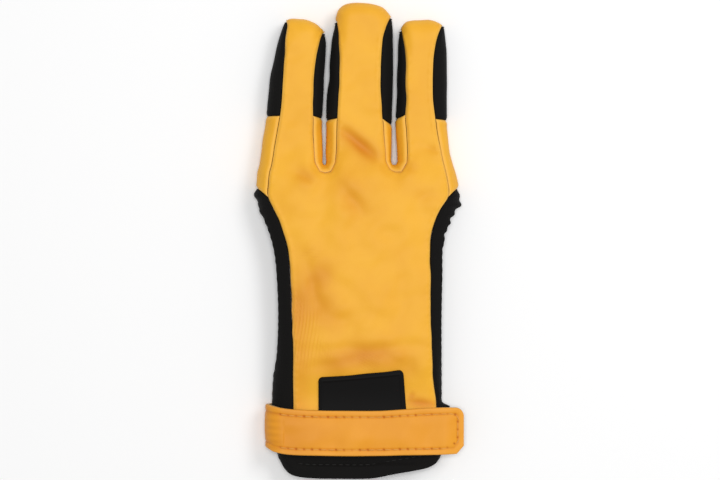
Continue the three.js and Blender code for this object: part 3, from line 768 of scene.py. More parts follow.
def plain(name, base, roughness, grain_scale=600, grain_depth=0.00005, **settings):
    made, tree, shader = material(name, roughness, **settings)
    shader.inputs["Base Color"].default_value = colour(base)
    place = node(tree, "ShaderNodeTexCoord").outputs["Object"]
    grain = node(
        tree, "ShaderNodeTexNoise", {"Vector": place, "Scale": grain_scale, "Detail": 3}
    )
    bump = node(
        tree,
        "ShaderNodeBump",
        {"Height": grain.outputs["Fac"], "Strength": 0.5, "Distance": grain_depth},
    )
    tree.links.new(bump.outputs["Normal"], shader.inputs["Normal"])
    return made


# after the base colour comes the dark colour of the mottling and the painted shade, then the pale
# colour of the painted rim highlight
tan = leather("tan_cowhide", "F0B02C", "CE7612", "F7CB76", 0.55)
strap_hide = leather("strap_cowhide", "EA9C24", "C06A10", "F0AE50", 0.55)
suede = plain("suede_flesh_side", "D2A468", 0.95, 900, 0.0001)
cut_edge = plain("cut_leather_edge", "E9BC78", 0.85, 1200, 0.00008)
black_knit = knit("black_stretch_knit", "0F0E0D", 0.0008, 0.85, 0.025)
black_hem = knit("black_hem_elastic", "0F0E0D", 0.0011, 0.88, 0.03)
black_inside = plain("knit_inner_side", "0D0C0C", 0.95)
rubber = plain("label_rubber", "080707", 0.7, 300, 0.00003, IOR=1.5, Specular_IOR_Level=0.15)
hook_tape = plain("hook_tape", "171717", 0.6)
tan_thread = plain("tan_thread", "DE9A3C", 0.6, 2500, 0.00006)
black_thread = plain("black_thread", "100F0E", 0.8, 2500, 0.00006)

# %% [markdown]
# ## Seam stations
# A seam is a line of places: on the face, on the glove's edge and on its back. The pieces on both
# sides of a seam read the same places.

# %% Seam stations
COLUMNS = (1 - np.cos(np.linspace(0, math.pi, 35))) / 2
COLUMNS = mix(COLUMNS, np.linspace(0, 1, 35), 0.55)
BACK_SEAM = 0.24
SIGN = {"left": -1, "right": 1}
OPPOSITE = {"left": "right", "right": "left"}
FRONT = 1 - np.sin(np.linspace(0, math.pi / 2, 13))
BEHIND = 1 - np.cos(np.linspace(0, math.pi / 2, 13))[1:]


def stall_stations(of, side, ys, other_ys):
    other = OPPOSITE[side]
    near = np.exp(-(((ys - strips_end_y) / end_spread) ** 2))
    face_y = ys + near * of["ends"][side][0]
    edge_y = ys + near * of["ends"][side][1]
    other_y = other_ys + near * of["ends"][other][1]
    edge = np.stack([of["edge"](side, edge_y), edge_y], 1)
    across = np.stack([of["edge"](other, other_y), other_y], 1)
    face_x = of["edge"](side, face_y) - SIGN[side] * of["seam"](side, face_y)
    face = np.stack([face_x, face_y], 1)
    return {"face": face, "edge": edge, "back": mix(edge, across, BACK_SEAM)}


def hand_stations(side, face_y, edge_y, back_y):
    sign = SIGN[side]
    face_x = hand_edge(side, face_y) - sign * hand_seam(side, face_y)
    back_x = hand_edge(side, back_y) - sign * BACK_SEAM * ring_width
    return {
        "face": np.stack([face_x, face_y], 1),
        "edge": np.stack([hand_edge(side, edge_y), edge_y], 1),
        "back": np.stack([back_x, back_y], 1),
    }


def crotch_stations(at, count=11):
    turns = np.linspace(at["rows"][0, 0], at["rows"][-1, 0], count)
    angle = np.radians(turns)
    ring_of = np.stack([np.cos(angle), np.sin(angle)], 1)
    off = np.stack([read(at["rows"], turns, 1), -read(at["rows"], turns, 2)], 1) * strip_width
    return {
        "face": at["centre"] + off,
        "edge": at["centre"] + at["radius"] * ring_of,
        "back": at["centre"] + 1.25 * off,
    }


def joined(*parts):
    return {key: np.vstack([part[key] for part in parts]) for key in ("face", "edge", "back")}


def turned(part):
    return {key: rows[::-1] for key, rows in part.items()}


def rows_of(part, keep):
    return {key: rows[keep] for key, rows in part.items()}


def root_y(number, side):
    if (number, side) in ((0, "left"), (2, "right")):
        return crotch_y
    return crotches[number - 1 if side == "left" else number]["centre"][1]


LOWER = np.linspace(0, 1, 33)
UPPER = np.linspace(0, 1, 65) ** 0.9


def lower_ys(number, side):
    return mix(root_y(number, side), strips_end_y, LOWER)


def upper_ys(number, side):
    return mix(strips_end_y, stalls[number]["corner"](side)[1], UPPER)


def lower_side(number, side):
    ys, other = lower_ys(number, side), lower_ys(number, OPPOSITE[side])
    return stall_stations(stalls[number], side, ys, other)


def upper_side(number, side):
    ys, other = upper_ys(number, side), upper_ys(number, OPPOSITE[side])
    return stall_stations(stalls[number], side, ys, other)


# Stations down the hand: shares for face, edge and back at each whole row
DOWN = np.array(
    [[0.98, 0.98, 0.975], [0.945, 0.955, 0.955], [0.895, 0.925, 0.93], [0.865, 0.885, 0.89]]
)
palm_start = 0.835
HEM_ROW = 2


def share_y(share):
    return mouth_y + share * hand_length


def hand_side(side):
    """Stations from the knuckles to under the strap, and the number of the hem's first one."""
    fine = np.linspace(0, 4, 41)
    shares = np.vstack([DOWN, [palm_start] * 3])
    coarse = np.arange(5)
    top = [share_y(np.interp(fine, coarse, shares[:, k])) for k in range(3)]
    below = np.linspace(share_y(palm_start), panel_end_y, 141)[1:]
    stations = hand_stations(side, *[np.concatenate([ys, below]) for ys in top])
    return stations, HEM_ROW * 10


def across_rows(a, b, columns):
    return mix(a[:, None, :], b[:, None, :], columns[None, :, None])


def hand_net(part, columns):
    """Rows of places across the whole hand, from the crotches down."""
    left, _ = hand_side("left")
    right, _ = hand_side("right")
    first, second = (crotch_stations(at)[part] for at in crotches)

    def run(a, b):
        return mix(a, b, columns[:, None])

    top = np.vstack(
        [
            run(left[part][0], first[0]),
            first[1:-1],
            run(first[-1], second[0]),
            second[1:-1],
            run(second[-1], right[part][0]),
        ]
    )
    shares = (top[:, 0] - top[0, 0]) / (top[-1, 0] - top[0, 0])
    even = np.linspace(0, 1, len(top))
    rows = [top]
    for i in range(1, len(left[part])):
        level = mix(shares, even, ease(i / 60))
        row = mix(left[part][i], right[part][i], level[:, None])
        fade = 1 - ease(i / 12)
        straight = mix(left[part][0], right[part][0], shares[:, None])
        rows.append(row + (top - straight) * fade)
    rows = np.array(rows)
    starts = [0, len(columns) + 9, 2 * (len(columns) + 9)]
    return rows, [top[s : s + len(columns)] for s in starts]


def filled(a, b, count):
    """Rows from a to b, both among them."""
    return mix(a[None], b[None], np.linspace(0, 1, count + 1)[:, None, None])


def section(stations):
    """From the seam on the face round the edge to the seam behind, for every station."""
    face, edge, back = stations["face"], stations["edge"], stations["back"]
    front = on_top(across_rows(edge, face, FRONT[:-1]))
    turn = on_edge(edge)[:, None]
    behind = on_back(across_rows(edge, back, BEHIND))
    return np.concatenate([front, turn, behind], 1)


def flip(net):
    return net[:, ::-1]


print("stations ready; columns", len(COLUMNS))

# %% [markdown]
# ## Leather face
# One piece of cowhide covers the palm and the fronts of three fingers, and wraps over their tips.
# The creases that wear has left in it run where the hand bends. They are pressed into the skin,
# each a narrow valley with a soft swelling beside it, and painted shade darkens each valley.

# %% Creases and swellings
# points along the fold, half width, depth, painted shade in its valley
CREASES = [
    ([(-10.0, 53.6), (-3.0, 48.0), (4.0, 42.0), (9.6, 37.6)], 2.6, 0.6, 0.98),
    ([(-31.5, 32.6), (-27.0, 30.6), (-21.5, 27.4)], 2.6, 0.4, 0.42),
    ([(-12.5, 29.5), (-7.5, 25.0), (-3.0, 19.0), (2.4, 10.0)], 4.2, 0.5, 0.4),
    ([(-26.4, -8.4), (-22.6, -18.0), (-21.4, -27.0), (-16.0, -36.0), (-4.0, -40.6)], 5.0, 0.4, 0.5),
    ([(-22.0, -12.0), (-12.0, -19.0)], 4.2, 0.2, 0.3),
    ([(-24.0, -61.6), (-12.0, -59.0), (2.0, -55.0), (11.0, -54.6), (21.0, -60.0)], 3.9, 0.7, 0.72),
    ([(20.0, -50.0), (24.0, -58.0), (25.0, -68.0)], 3.4, 0.3, 0.2),
    ([(22.0, -77.4), (30.0, -78.0), (37.4, -79.4)], 1.5, 0.5, 0.8),
    ([(23.4, -73.6), (26.4, -75.2)], 1.3, 0.25, 0.45),
    ([(20.0, 36.4), (28.0, 32.5)], 2.4, 0.3, 0.25),
    ([(36.0, 24.0), (27.0, 18.0)], 3.2, 0.25, 0.2),
    ([(-45.6, 44.0), (-41.0, 46.5)], 1.4, 0.3, 0.2),
    ([(31.0, 45.0), (38.0, 41.5)], 1.6, 0.25, 0.2),
]
# centre across and along, half sizes, pitch, direction, height: patches of fine wrinkles
WRINKLES = [
    (-27.5, -47.0, 7.5, 16.0, 1.7, 84, 0.13),
    (-30.5, -31.5, 3.0, 7.0, 1.4, 118, 0.14),
    (-24.0, -6.8, 6.0, 2.8, 1.3, 8, 0.08),
    (4.0, -57.5, 7.0, 4.0, 1.5, -28, 0.1),
    (-17.0, -52.0, 4.5, 5.0, 1.4, 88, 0.09),
]
WAVES = [
    (
        1 / seeded.uniform(7, 30),
        seeded.uniform(0, math.pi),
        seeded.uniform(0, 2 * math.pi),
    )
    for _ in range(26)
]


def off_line(x, y, path):
    """Signed distance to a line of points, and the share of the way along it."""
    line = spaced(path, 24)
    run = line[1:] - line[:-1]
    best = np.full(x.shape, 1e9)
    side = np.zeros(x.shape)
    share = np.zeros(x.shape)
    for k in range(len(run)):
        square = float((run[k] ** 2).sum())
        dx, dy = x - line[k, 0], y - line[k, 1]
        t = np.clip((dx * run[k, 0] + dy * run[k, 1]) / square, 0, 1)
        reach = np.hypot(dx - t * run[k, 0], dy - t * run[k, 1])
        nearer = reach < best
        best = np.where(nearer, reach, best)
        side = np.where(nearer, np.sign(run[k, 0] * dy - run[k, 1] * dx), side)
        share = np.where(nearer, (k + t) / len(run), share)
    return best * side, share


def creases(x, y):
    rise = np.zeros(x.shape)
    tone = np.zeros(x.shape)
    for path, width, depth, dark in CREASES:
        off, share = off_line(x, y, path)
        taper = np.sin(np.pi * np.clip(share * 0.94 + 0.03, 0, 1)) ** 0.8
        taper = taper * np.exp(-np.maximum(0, np.abs(off) - 3.5 * width))
        valley = np.exp(-((off / (0.7 * width)) ** 2))
        swell = np.exp(-(((off - 1.7 * width) / width) ** 2))
        swell = swell + 0.6 * np.exp(-(((off + 1.7 * width) / width) ** 2))
        rise += depth * taper * (0.5 * swell - valley)
        # painted shade: the crease's valley and a little round it are darkened
        tone += 0.75 * dark * taper * np.exp(-((off / (1.6 * width)) ** 2))
    for cx, cy, rx, ry, pitch, turn, height in WRINKLES:
        c, s = math.cos(math.radians(turn)), math.sin(math.radians(turn))
        along, off = (x - cx) * c + (y - cy) * s, (y - cy) * c - (x - cx) * s
        held = np.exp(-(((x - cx) / rx) ** 4) - ((y - cy) / ry) ** 4)
        line = np.sin(2 * math.pi * off / pitch + 1.4 * np.sin(along / 5) + 0.8 * np.sin(off / 3))
        rise += height * held * line
        # painted shade in the troughs of the fine wrinkles
        tone += 1.2 * height * held * np.maximum(0, -line)
    # painted shade towards the palm's left edge, where the face turns away from the light
    side = ease((-21 - x) / 9) * ease((-8 - y) / 26)
    return rise, tone + 0.3 * side


def undulation(points, size=1.0):
    """Soft unevenness, from waves in many directions."""
    total = np.zeros(len(points))
    for rate, turn, phase in WAVES:
        across = points[:, 0] * math.cos(turn) + points[:, 1] * math.sin(turn)
        total += (1 / rate) * np.sin(2 * math.pi * rate * across + phase + 0.3 * points[:, 2])
    return size * total / (30 * len(WAVES) ** 0.5)


def sewn(away, along, drop=0.5, bead=0.16, pitch=3.6):
    """A rim that turns in towards its seam, with a bead that puckers at each stitch."""
    turned_in = -drop * np.exp(-((away / 0.75) ** 2))
    pucker = 1 + 0.55 * np.sin(2 * math.pi * along / pitch) + 0.25 * np.sin(along * 0.9)
    return turned_in + bead * np.exp(-(((away - 1.7) / 0.8) ** 2)) * pucker


def face_shape(points, normals, away, along):
    up = ease(normals[:, 2] / 0.5)
    rise, tone = creases(points[:, 0], points[:, 1])
    low = 1 - over_strap(points[:, 1])
    total = sewn(away, along) + (rise * up + undulation(points, 0.6)) * mix(0.3, 1, low)
    # the painted shade is kept to the places that face up
    return total, tone * up


# %% Leather face
def tip_net(number):
    """From a stall's last row over its tip and under it."""
    of = stalls[number]
    chord = mix(of["corner"]("left"), of["corner"]("right"), COLUMNS[:, None])
    runs = np.linalg.norm(np.diff(of["tip"], axis=0), axis=1)
    at = np.concatenate([[0], np.cumsum(runs)])
    arc = np.stack([np.interp(COLUMNS * at[-1], at, of["tip"][:, k]) for k in (0, 1)], 1)
    turns = np.linspace(0, math.pi / 2, 17)
    over = [on_top(mix(chord, arc, math.sin(turn))) for turn in turns[:-1]]
    under = [on_back(mix(arc, chord, 1 - math.cos(turn))) for turn in turns[1:]]
    net = np.array([*over, on_edge(arc), *under])
    net[:, 0] = on_edge(of["corner"]("left"))
    net[:, -1] = on_edge(of["corner"]("right"))
    return net


def stall_net(number, part, columns):
    sides = []
    for side in ("left", "right"):
        low, high = lower_side(number, side)[part], upper_side(number, side)[part]
        sides.append(np.vstack([low, high[1:]]))
    return across_rows(*sides, columns)


face_rows, face_tops = hand_net("face", COLUMNS)
nets = [flip(on_top(face_rows))]
for number in range(3):
    places = stall_net(number, "face", COLUMNS)
    root = filled(face_tops[number], places[0], 5)
    places = np.concatenate([root[:-1], places[:-1]])
    nets.append(np.concatenate([on_top(places), tip_net(number)]))
face = wall(
    "face_panel_leather", nets, face_wall, [tan, suede, cut_edge], face_shape,
    replaces="face_panel",
)

# %% [markdown]
# ## Stretch-fabric back
# The back of the hand and of the fingers is one piece of black stretch knit. Above the tan strips
# it comes round to the front, so the stalls give. It is soft, so it lies in shallow waves.


# %% Stretch-fabric back
def back_shape(points, normals, away, along):
    lying = np.clip(points[:, 2] / 3, 0, 1)
    flat = mix(0.25, 1, ease((crotch_y - points[:, 1]) / 12)) * mix(0.2, 1, lying)
    total = sewn(away, along, 0.35, 0.08, 3.2) + 0.8 * undulation(points) * flat
    return total, np.zeros(len(points))


BACK_COLUMNS = np.linspace(0, 1, 22)
back_rows, back_tops = hand_net("back", BACK_COLUMNS)
nets = [on_back(back_rows)]
for number in range(3):
    low = [lower_side(number, side)["back"] for side in ("left", "right")]
    places = across_rows(*low, BACK_COLUMNS)
    places = np.concatenate([filled(back_tops[number], places[0], 5)[:-1], places])
    nets.append(flip(on_back(places)))
    left, right = upper_side(number, "left"), upper_side(number, "right")
    across = on_back(across_rows(left["back"], right["back"], BACK_COLUMNS))
    wrap = [section(left)[:, :-1], across, flip(section(right)[:, :-1])]
    nets.append(flip(np.concatenate(wrap, 1)))
back_side = wall(
    "back_panel_knit", nets, fabric_wall, [black_knit, black_inside, black_inside], back_shape,
    replaces="back_panel",
)

# %% [markdown]
# ## Tan strips
# Narrow strips of the same cowhide run down between the stalls and on both outer sides of the
# knuckles, where a finger would rub through fabric. They are sewn in between face and back.


# %% Tan strips
def strip_shape(points, normals, away, along):
    total = sewn(away, along, 0.5, 0.12) + undulation(points, 0.35)
    return total, np.full(len(points), 0.03)


def strip(name, stations, left):
    net = section(stations)
    made = wall(
        name + "_leather", [net if left else flip(net)], face_wall, [tan, suede, cut_edge],
        strip_shape, replaces=name,
    )
    return made


for name, number in (("fourchette_ring_middle", 0), ("fourchette_middle_index", 1)):
    stations = joined(
        turned(lower_side(number, "right")),
        crotch_stations(crotches[number]),
        lower_side(number + 1, "left"),
    )
    strip(name, stations, False)
for name, number, side in (("side_panel_ring", 0, "left"), ("side_panel_index", 2, "right")):
    hand, hem_start = hand_side(side)
    stations = joined(turned(lower_side(number, side)), rows_of(hand, slice(0, hem_start + 1)))
    strip(name, stations, side == "left")

# %% [markdown]
# ## Gathered hems
# Down each side of the palm a band of fabric is gathered on elastic round an opening, one for the
# thumb and one for the little finger. The gathers are deepest under the knuckles. The opening is a
# slit that gapes in the middle.


# %% Gathered hems
def hem(name, side, ruffles, pleats):
    hand, start = hand_side(side)
    stations = rows_of(hand, slice(start, None))
    share = (stations["edge"][:, 1] - mouth_y) / hand_length
    gape = np.maximum(0, read(OPENING, share)) * opening_height
    whole = section(stations)
    turn = len(FRONT) - 1
    near_front = np.linspace(0, 1, turn + 1) ** 1.5
    near_back = (1 - np.linspace(0, 1, len(BEHIND) + 1)) ** 1.5
    near = np.concatenate([near_front, near_back[1:]])
    y_share = (whole[..., 1] - mouth_y) / hand_length
    push = np.zeros(y_share.shape)
    for at, breadth, depth in ruffles:
        push += depth * ruffle_depth * np.exp(-(((y_share - at) / breadth) ** 2))
    whole[..., 0] += SIGN[side] * push * near
    over, under = whole[:, : turn + 1].copy(), whole[:, turn:].copy()
    over[..., 2] += near[: turn + 1] * gape[:, None]
    under[..., 2] -= near[turn:] * gape[:, None]

    def shape(points, normals, away, along):
        at = (points[:, 1] - mouth_y) / hand_length
        edge = hand_edge(side, points[:, 1])
        reach = np.clip(1 - np.abs(points[:, 0] - edge) / 6.5, 0, 1)
        strength = np.exp(-(((at - 0.85) / 0.1) ** 2)) * pleats + 0.12
        wave = np.sin(2 * math.pi * points[:, 1] / 4.1 + 1.6 * np.sin(points[:, 1] / 7))
        total = sewn(away, along, 0.3, 0.08, 3.0) + 0.6 * strength * reach * wave
        return total, np.zeros(len(points))

    nets = [over, under] if side == "left" else [flip(over), flip(under)]
    made = wall(
        name + "_knit", nets, fabric_wall, [black_hem, black_inside, black_inside], shape,
        replaces=name,
    )


hem("little_finger_hem", "left", LEFT_RUFFLES, 0.2)
hem("thumb_hem", "right", RUFFLES, 0.55)

# %% [markdown]
# ## Cuff
# A short tube of the same knit runs from under the strap to the curved mouth, and its rim is
# turned in and sewn down as a flat band.


# %% Cuff
def cuff_net():
    columns = (1 - np.cos(np.linspace(0, math.pi, 81))) / 2
    rows = []
    for t in np.linspace(0, 1, 41):
        rim = mouth_y + strap_rise * read(RIM, columns)
        y = mix(panel_end_y, rim, t)
        x = mix(hand_edge("left", y), hand_edge("right", y), columns)
        places = np.stack([x, y], 1)
        top, under, turn = on_top(places), on_back(places), on_edge(places)
        rows.append(np.vstack([turn[:1], top[1:-1], turn[-1:], under[1:-1][::-1], turn[:1]]))
    return np.array(rows)


hem_band = 6.8


def cuff_shape(points, normals, away, along):
    band = 0.2 * ease((hem_band - away) / 0.6) - 0.25 * np.exp(-(((away - hem_band) / 0.6) ** 2))
    low = points[:, 1] < strap_low_y + 4
    lying = np.clip(points[:, 2] / 3, 0, 1)
    waves = undulation(points, 0.6) * lying
    return np.where(low, band, 0) + waves * mix(0.2, 1, low), np.zeros(len(points))


cuff = wall(
    "cuff_knit", [flip(cuff_net())], fabric_wall, [black_knit, black_inside, black_inside],
    cuff_shape, replaces="cuff",
)

# %% [markdown]
# ## Wrist strap
# The strap is a doubled band of thicker cowhide, top-stitched near its edges. It starts sewn to the
# back, wraps the left edge and ends in a free tongue over the right edge. Stitches pull it in, so
# it is slightly puffed between them, and painted shade darkens every hole.

# %% Wrist strap
strap_middle_y = (strap_low_y + strap_top_y) / 2
strap_round = (top_at(strap_middle_y) + label_room + strap_wall) / 2
strap_left = min(hand_edge("left", strap_low_y), hand_edge("left", strap_top_y))
glove_right = float(hand_edge("right", strap_middle_y))
tongue_x = glove_right + tongue_overhang
turn_x = strap_left - strap_side_gap - strap_wall + strap_round
stitch_inset = 3.0
stitch_pitch = 3.8


def strap_top(x):
    return 2 * strap_round - tongue_droop * ease((x - glove_right) / (tongue_overhang + 0.6))


def strap_route():
    """x, z, direction and the x at which the edges are read, along the strap's outer side."""
    under = [(x, 0, 270, -60) for x in np.linspace(sewn_end, turn_x, 70)]
    around = [
        (
            turn_x + strap_round * math.cos(math.radians(turn)),
            strap_round + strap_round * math.sin(math.radians(turn)),
            turn,
            -60 if turn > 180 else turn_x + strap_round * math.cos(math.radians(turn)),
        )
        for turn in np.linspace(270, 90, 42)[1:-1]
    ]
    flat = [(x, 2 * strap_round, 90, x) for x in np.linspace(turn_x, glove_right - 2, 190)]
    ends = np.concatenate(
        [
            np.linspace(glove_right - 2, tongue_x - tongue_corner, 24)[1:],
            tongue_x - tongue_corner * (1 - np.sin(np.linspace(0, math.pi / 2, 14)[1:])),
        ]
    )
    tongue = [(x, float(strap_top(x)), 90, x) for x in ends]
    return np.array([*under, *around, *flat, *tongue])


def strap_edges(x):
    """Lower and upper edge of the strap, with its two corners taken off."""
    past = np.clip((x - tongue_x + tongue_round) / tongue_round, 0, 1)
    off = tongue_round * (1 - np.sqrt(1 - past * past))
    low = read(STRAP_EDGE, x, 1) + np.maximum(0.6 * off, 1.1 * np.maximum(0, x - tongue_x + 3.4))
    return low, read(STRAP_EDGE, x, 2) - off


route = strap_route()
round_part = 1 - np.cos(np.linspace(0, math.pi / 2, 9))
across = np.concatenate([round_part, [2.0, 2.4, 2.8, 3.2, 3.6, 4.2]])
flat_part = np.linspace(5, strap_width - 5, 22)
across = np.concatenate([across, flat_part, (strap_width - across)[::-1]])
across = across / strap_width
lows, highs = strap_edges(route[:, 3])
strap_net = np.stack(
    [
        np.repeat(route[:, :1], len(across), 1),
        mix(lows[:, None], highs[:, None], across[None]),
        np.repeat(route[:, 1:2], len(across), 1),
    ],
    -1,
)


def stitch_line():
    """The top-stitching on the upper side: along the top, round the tongue, back below."""
    end = tongue_x - stitch_inset
    xs = np.linspace(turn_x - 1.5, end - 1.6, 120)
    top = [(x, strap_edges(x)[1] - stitch_inset) for x in xs]
    low = [(x, strap_edges(x)[0] + stitch_inset) for x in xs[:-6]]
    side = [(end, top[-1][1] - 1.6), (end, low[-1][1] + 3.2)]
    return np.array([*top, *side, *low[::-1]], float)


stitch_path = stitch_line()
stitch_total = float(np.linalg.norm(np.diff(stitch_path, axis=0), axis=1).sum())
hole_places = spaced(stitch_path, int(stitch_total / stitch_pitch) + 1)
hole_pulls = seeded.uniform(0.15, 1.0, len(hole_places))


def strap_shape(points, normals, away, along):
    round_off = 0.75
    e = np.clip(away, 0, round_off)
    total = -(round_off - np.sqrt(np.maximum(0, round_off**2 - (round_off - e) ** 2)))
    groove = np.exp(-(((away - stitch_inset) / 0.5) ** 2))
    total -= 0.3 * groove
    total += 0.35 * (1 - np.exp(-((np.maximum(0, away - stitch_inset) / 3) ** 2)))
    total += 0.5 * undulation(points) * (points[:, 0] > turn_x)
    upper = normals[:, 2] > 0.5
    dents = np.zeros(len(points))
    for (x, y), pull in zip(hole_places, hole_pulls):
        square = (points[:, 0] - x) ** 2 + (points[:, 1] - y) ** 2
        dents = np.maximum(dents, pull * np.exp(-square / 0.2))
    dents = dents * upper
    fold = ease((turn_x + 2 - points[:, 0]) / 7) * upper
    lines = np.sin(points[:, 1] * 1.9 + 0.09 * points[:, 0]) * fold
    left = ease((-14 - points[:, 0]) / 20)
    # painted shade in the stitch groove, in every hole and towards the left end; a painted highlight
    # on the fold round the glove's edge, crossed by painted stripes of shade
    tone = 0.3 * groove + 1.6 * dents + 0.25 * left - 0.15 * fold + 0.12 * lines
    return total - 0.5 * dents, np.clip(tone, 0, 2)


def strap_facing(points):
    dx, dz = points[:, 0] - turn_x, points[:, 2] - strap_round
    flat = points[:, 0] > turn_x
    return unit(np.stack([np.where(flat, 0, dx), np.zeros(len(points)), dz], 1))


strap = wall(
    "wrist_strap_leather", [flip(strap_net)], strap_wall, [strap_hide, suede, cut_edge],
    strap_shape, back=0, replaces="wrist_strap", facing=strap_facing,
)

# %% [markdown]
# ## Label and clasp
# The label is a thin moulded patch whose foot is caught under the strap. Its face stays bare, with
# only a moulded border. The clasp under the tongue is a patch of hook tape.


# %% Label and clasp
def raised_by(places, height):
    """Places on the face, raised along its normal."""
    e = 0.2
    du = on_top(places + [e, 0]) - on_top(places - [e, 0])
    dv = on_top(places + [0, e]) - on_top(places - [0, e])
    return on_top(places) + unit(np.cross(du, dv)) * height


def laid(name, places, thickness, finishes, shape, replaces):
    raised = raised_by(places, seam_gap + thickness)

    def facing(points):
        foot = points[:, :2]
        return unit(raised_by(foot, 1.0) - on_top(foot))

    made = wall(
        name, [raised], thickness, finishes, shape, back=0, replaces=replaces, facing=facing
    )


def label_shape(points, normals, away, along):
    e = np.clip(away, 0, 0.5)
    total = -(0.5 - np.sqrt(np.maximum(0, 0.25 - (0.5 - e) ** 2)))
    total += 0.25 * np.exp(-(((away - 1.7) / 0.45) ** 4))
    return total, np.zeros(len(points))


near_top = 1 - 0.14 * (1 - np.sin(np.linspace(0, math.pi / 2, 12)[1:]))
label_y = np.concatenate([np.linspace(0, 0.86, 34), near_top])
label_u = (1 - np.cos(np.linspace(0, math.pi, 75))) / 2
label_u = mix(label_u, np.linspace(0, 1, 75), 0.6)
past = np.clip((label_y * label_height - label_height + label_corner) / label_corner, 0, 1)
corner_round = label_corner * (1 - np.sqrt(1 - past**2))
label_left = label_middle - label_width / 2 + corner_round
label_right = label_middle + label_width / 2 - corner_round - label_lean * label_y
label_top = label_height + label_slant * label_u**1.2
label_places = np.stack(
    [
        mix(label_left[:, None], label_right[:, None], label_u[None]),
        strap_top_y - label_tuck + label_y[:, None] * label_top[None],
    ],
    -1,
)
laid(
    "label_patch_rubber", label_places, label_wall, [rubber, rubber, rubber], label_shape,
    "label_patch",
)

patch_right = glove_right - patch_inset
patch_places = np.stack(
    np.broadcast_arrays(
        np.linspace(patch_right - patch_width, patch_right, 40)[None, :],
        np.linspace(strap_low_y + patch_rise, strap_low_y + patch_rise + patch_height, 34)[:, None],
    ),
    -1,
)
laid(
    "hook_loop_patch_tape", patch_places, patch_wall, [hook_tape] * 3, None,
    "hook_loop_patch",
)

# %% [markdown]
# ## Stitches
# The strap's thread lies in the groove, and dips into a hole every few millimetres. A Geometry
# Nodes modifier sets one short stitch after another along a line, then it is made into plain mesh.


# %% Stitches
def stitch_group():
    group = bpy.data.node_groups.new("stitches_along_a_line", "GeometryNodeTree")
    face_in = group.interface
    face_in.new_socket("Geometry", in_out="INPUT", socket_type="NodeSocketGeometry")
    for name, value in (("Pitch", 0.0038), ("Length", 0.0026), ("Thread", 0.00032)):
        socket = face_in.new_socket(name, in_out="INPUT", socket_type="NodeSocketFloat")
        socket.default_value = value
    face_in.new_socket("Thread material", in_out="INPUT", socket_type="NodeSocketMaterial")
    face_in.new_socket("Geometry", in_out="OUTPUT", socket_type="NodeSocketGeometry")
    given = node(group, "NodeGroupInput").outputs
    line = node(
        group,
        "GeometryNodeResampleCurve",
        {"Curve": given["Geometry"], "Length": given["Pitch"]},
        mode="LENGTH",
    )
    ball = node(
        group, "GeometryNodeMeshUVSphere", {"Segments": 8, "Rings": 8, "Radius": given["Thread"]}
    )
    longer = node(
        group,
        "ShaderNodeMath",
        {0: given["Length"], 1: given["Thread"]},
        operation="DIVIDE",
    )
    halved = node(group, "ShaderNodeMath", {0: longer.outputs[0], 1: 0.5}, operation="MULTIPLY")
    stretch = node(group, "ShaderNodeCombineXYZ", {"X": 1.0, "Y": 1.0, "Z": halved.outputs[0]})
    stretched = node(
        group,
        "GeometryNodeTransform",
        {"Geometry": ball.outputs["Mesh"], "Scale": stretch.outputs[0]},
    )
    tangent = node(group, "GeometryNodeInputTangent")
    turn = node(
        group, "FunctionNodeAlignEulerToVector", {"Vector": tangent.outputs[0]}, axis="Z"
    )
    set_down = node(
        group,
        "GeometryNodeInstanceOnPoints",
        {
            "Points": line.outputs["Curve"],
            "Instance": stretched.outputs["Geometry"],
            "Rotation": turn.outputs[0],
        },
    )
    real = node(group, "GeometryNodeRealizeInstances", {"Geometry": set_down.outputs[0]})
    smooth = node(group, "GeometryNodeSetShadeSmooth", {"Geometry": real.outputs[0]})
    painted = node(
        group,
        "GeometryNodeSetMaterial",
        {"Geometry": smooth.outputs[0], "Material": given["Thread material"]},
    )
    node(group, "NodeGroupOutput", {"Geometry": painted.outputs[0]})
    return group


STITCHES = stitch_group()


def stitches(name, path, thread, pitch, length, radius):
    """Stitches along a line of points in millimetres, as a plain mesh."""
    line = bpy.data.curves.new(name + "_line", "CURVE")
    line.dimensions = "3D"
    spline = line.splines.new("POLY")
    spline.points.add(len(path) - 1)
    rows = np.concatenate([np.asarray(path) * 0.001, np.ones((len(path), 1))], 1)
    spline.points.foreach_set("co", rows.ravel())
    holder = bpy.data.objects.new(name + "_line", line)
    bpy.context.scene.collection.objects.link(holder)
    modifier = holder.modifiers.new("stitches", "NODES")
    modifier.node_group = STITCHES
    given = {"Pitch": pitch * 0.001, "Length": length * 0.001, "Thread": radius * 0.001}
    given["Thread material"] = thread
    for item in STITCHES.interface.items_tree:
        if item.in_out == "INPUT" and item.name in given:
            modifier[item.identifier] = given[item.name]
    bpy.context.view_layer.update()
    made = bpy.data.meshes.new_from_object(
        holder.evaluated_get(bpy.context.evaluated_depsgraph_get())
    )
    bpy.data.objects.remove(holder)
    obj = bpy.data.objects.new(name, made)
    bpy.context.scene.collection.objects.link(obj)
    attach(obj, "root")
    print(f"{name}: {len(made.polygons)} faces")
    return obj


exact = stitch_total / (len(hole_places) - 1)
seated = spaced(stitch_path, 900)
start = int(900 * exact / 2 / stitch_total)
seated = seated[start:-start]
seated = np.column_stack([seated, strap_top(seated[:, 0]) - 0.12])
stitches(
    "strap_top_stitching", seated, tan_thread, exact * 0.9999, exact * 0.78, 0.3
)
sewn_box = [
    (sewn_end - 2.5, strap_low_y + 3.6),
    (sewn_end - 2.5, strap_top_y - 1.6),
    (sewn_end - 17, strap_top_y - 1.6),
    (sewn_end - 17, strap_low_y + 3.6),
    (sewn_end - 2.5, strap_low_y + 3.6),
]
sewn_path = np.column_stack([spaced(sewn_box, 200), np.full(200, 0.12)])
stitches("strap_end_stitching", sewn_path, tan_thread, 3.6, 2.7, 0.3)

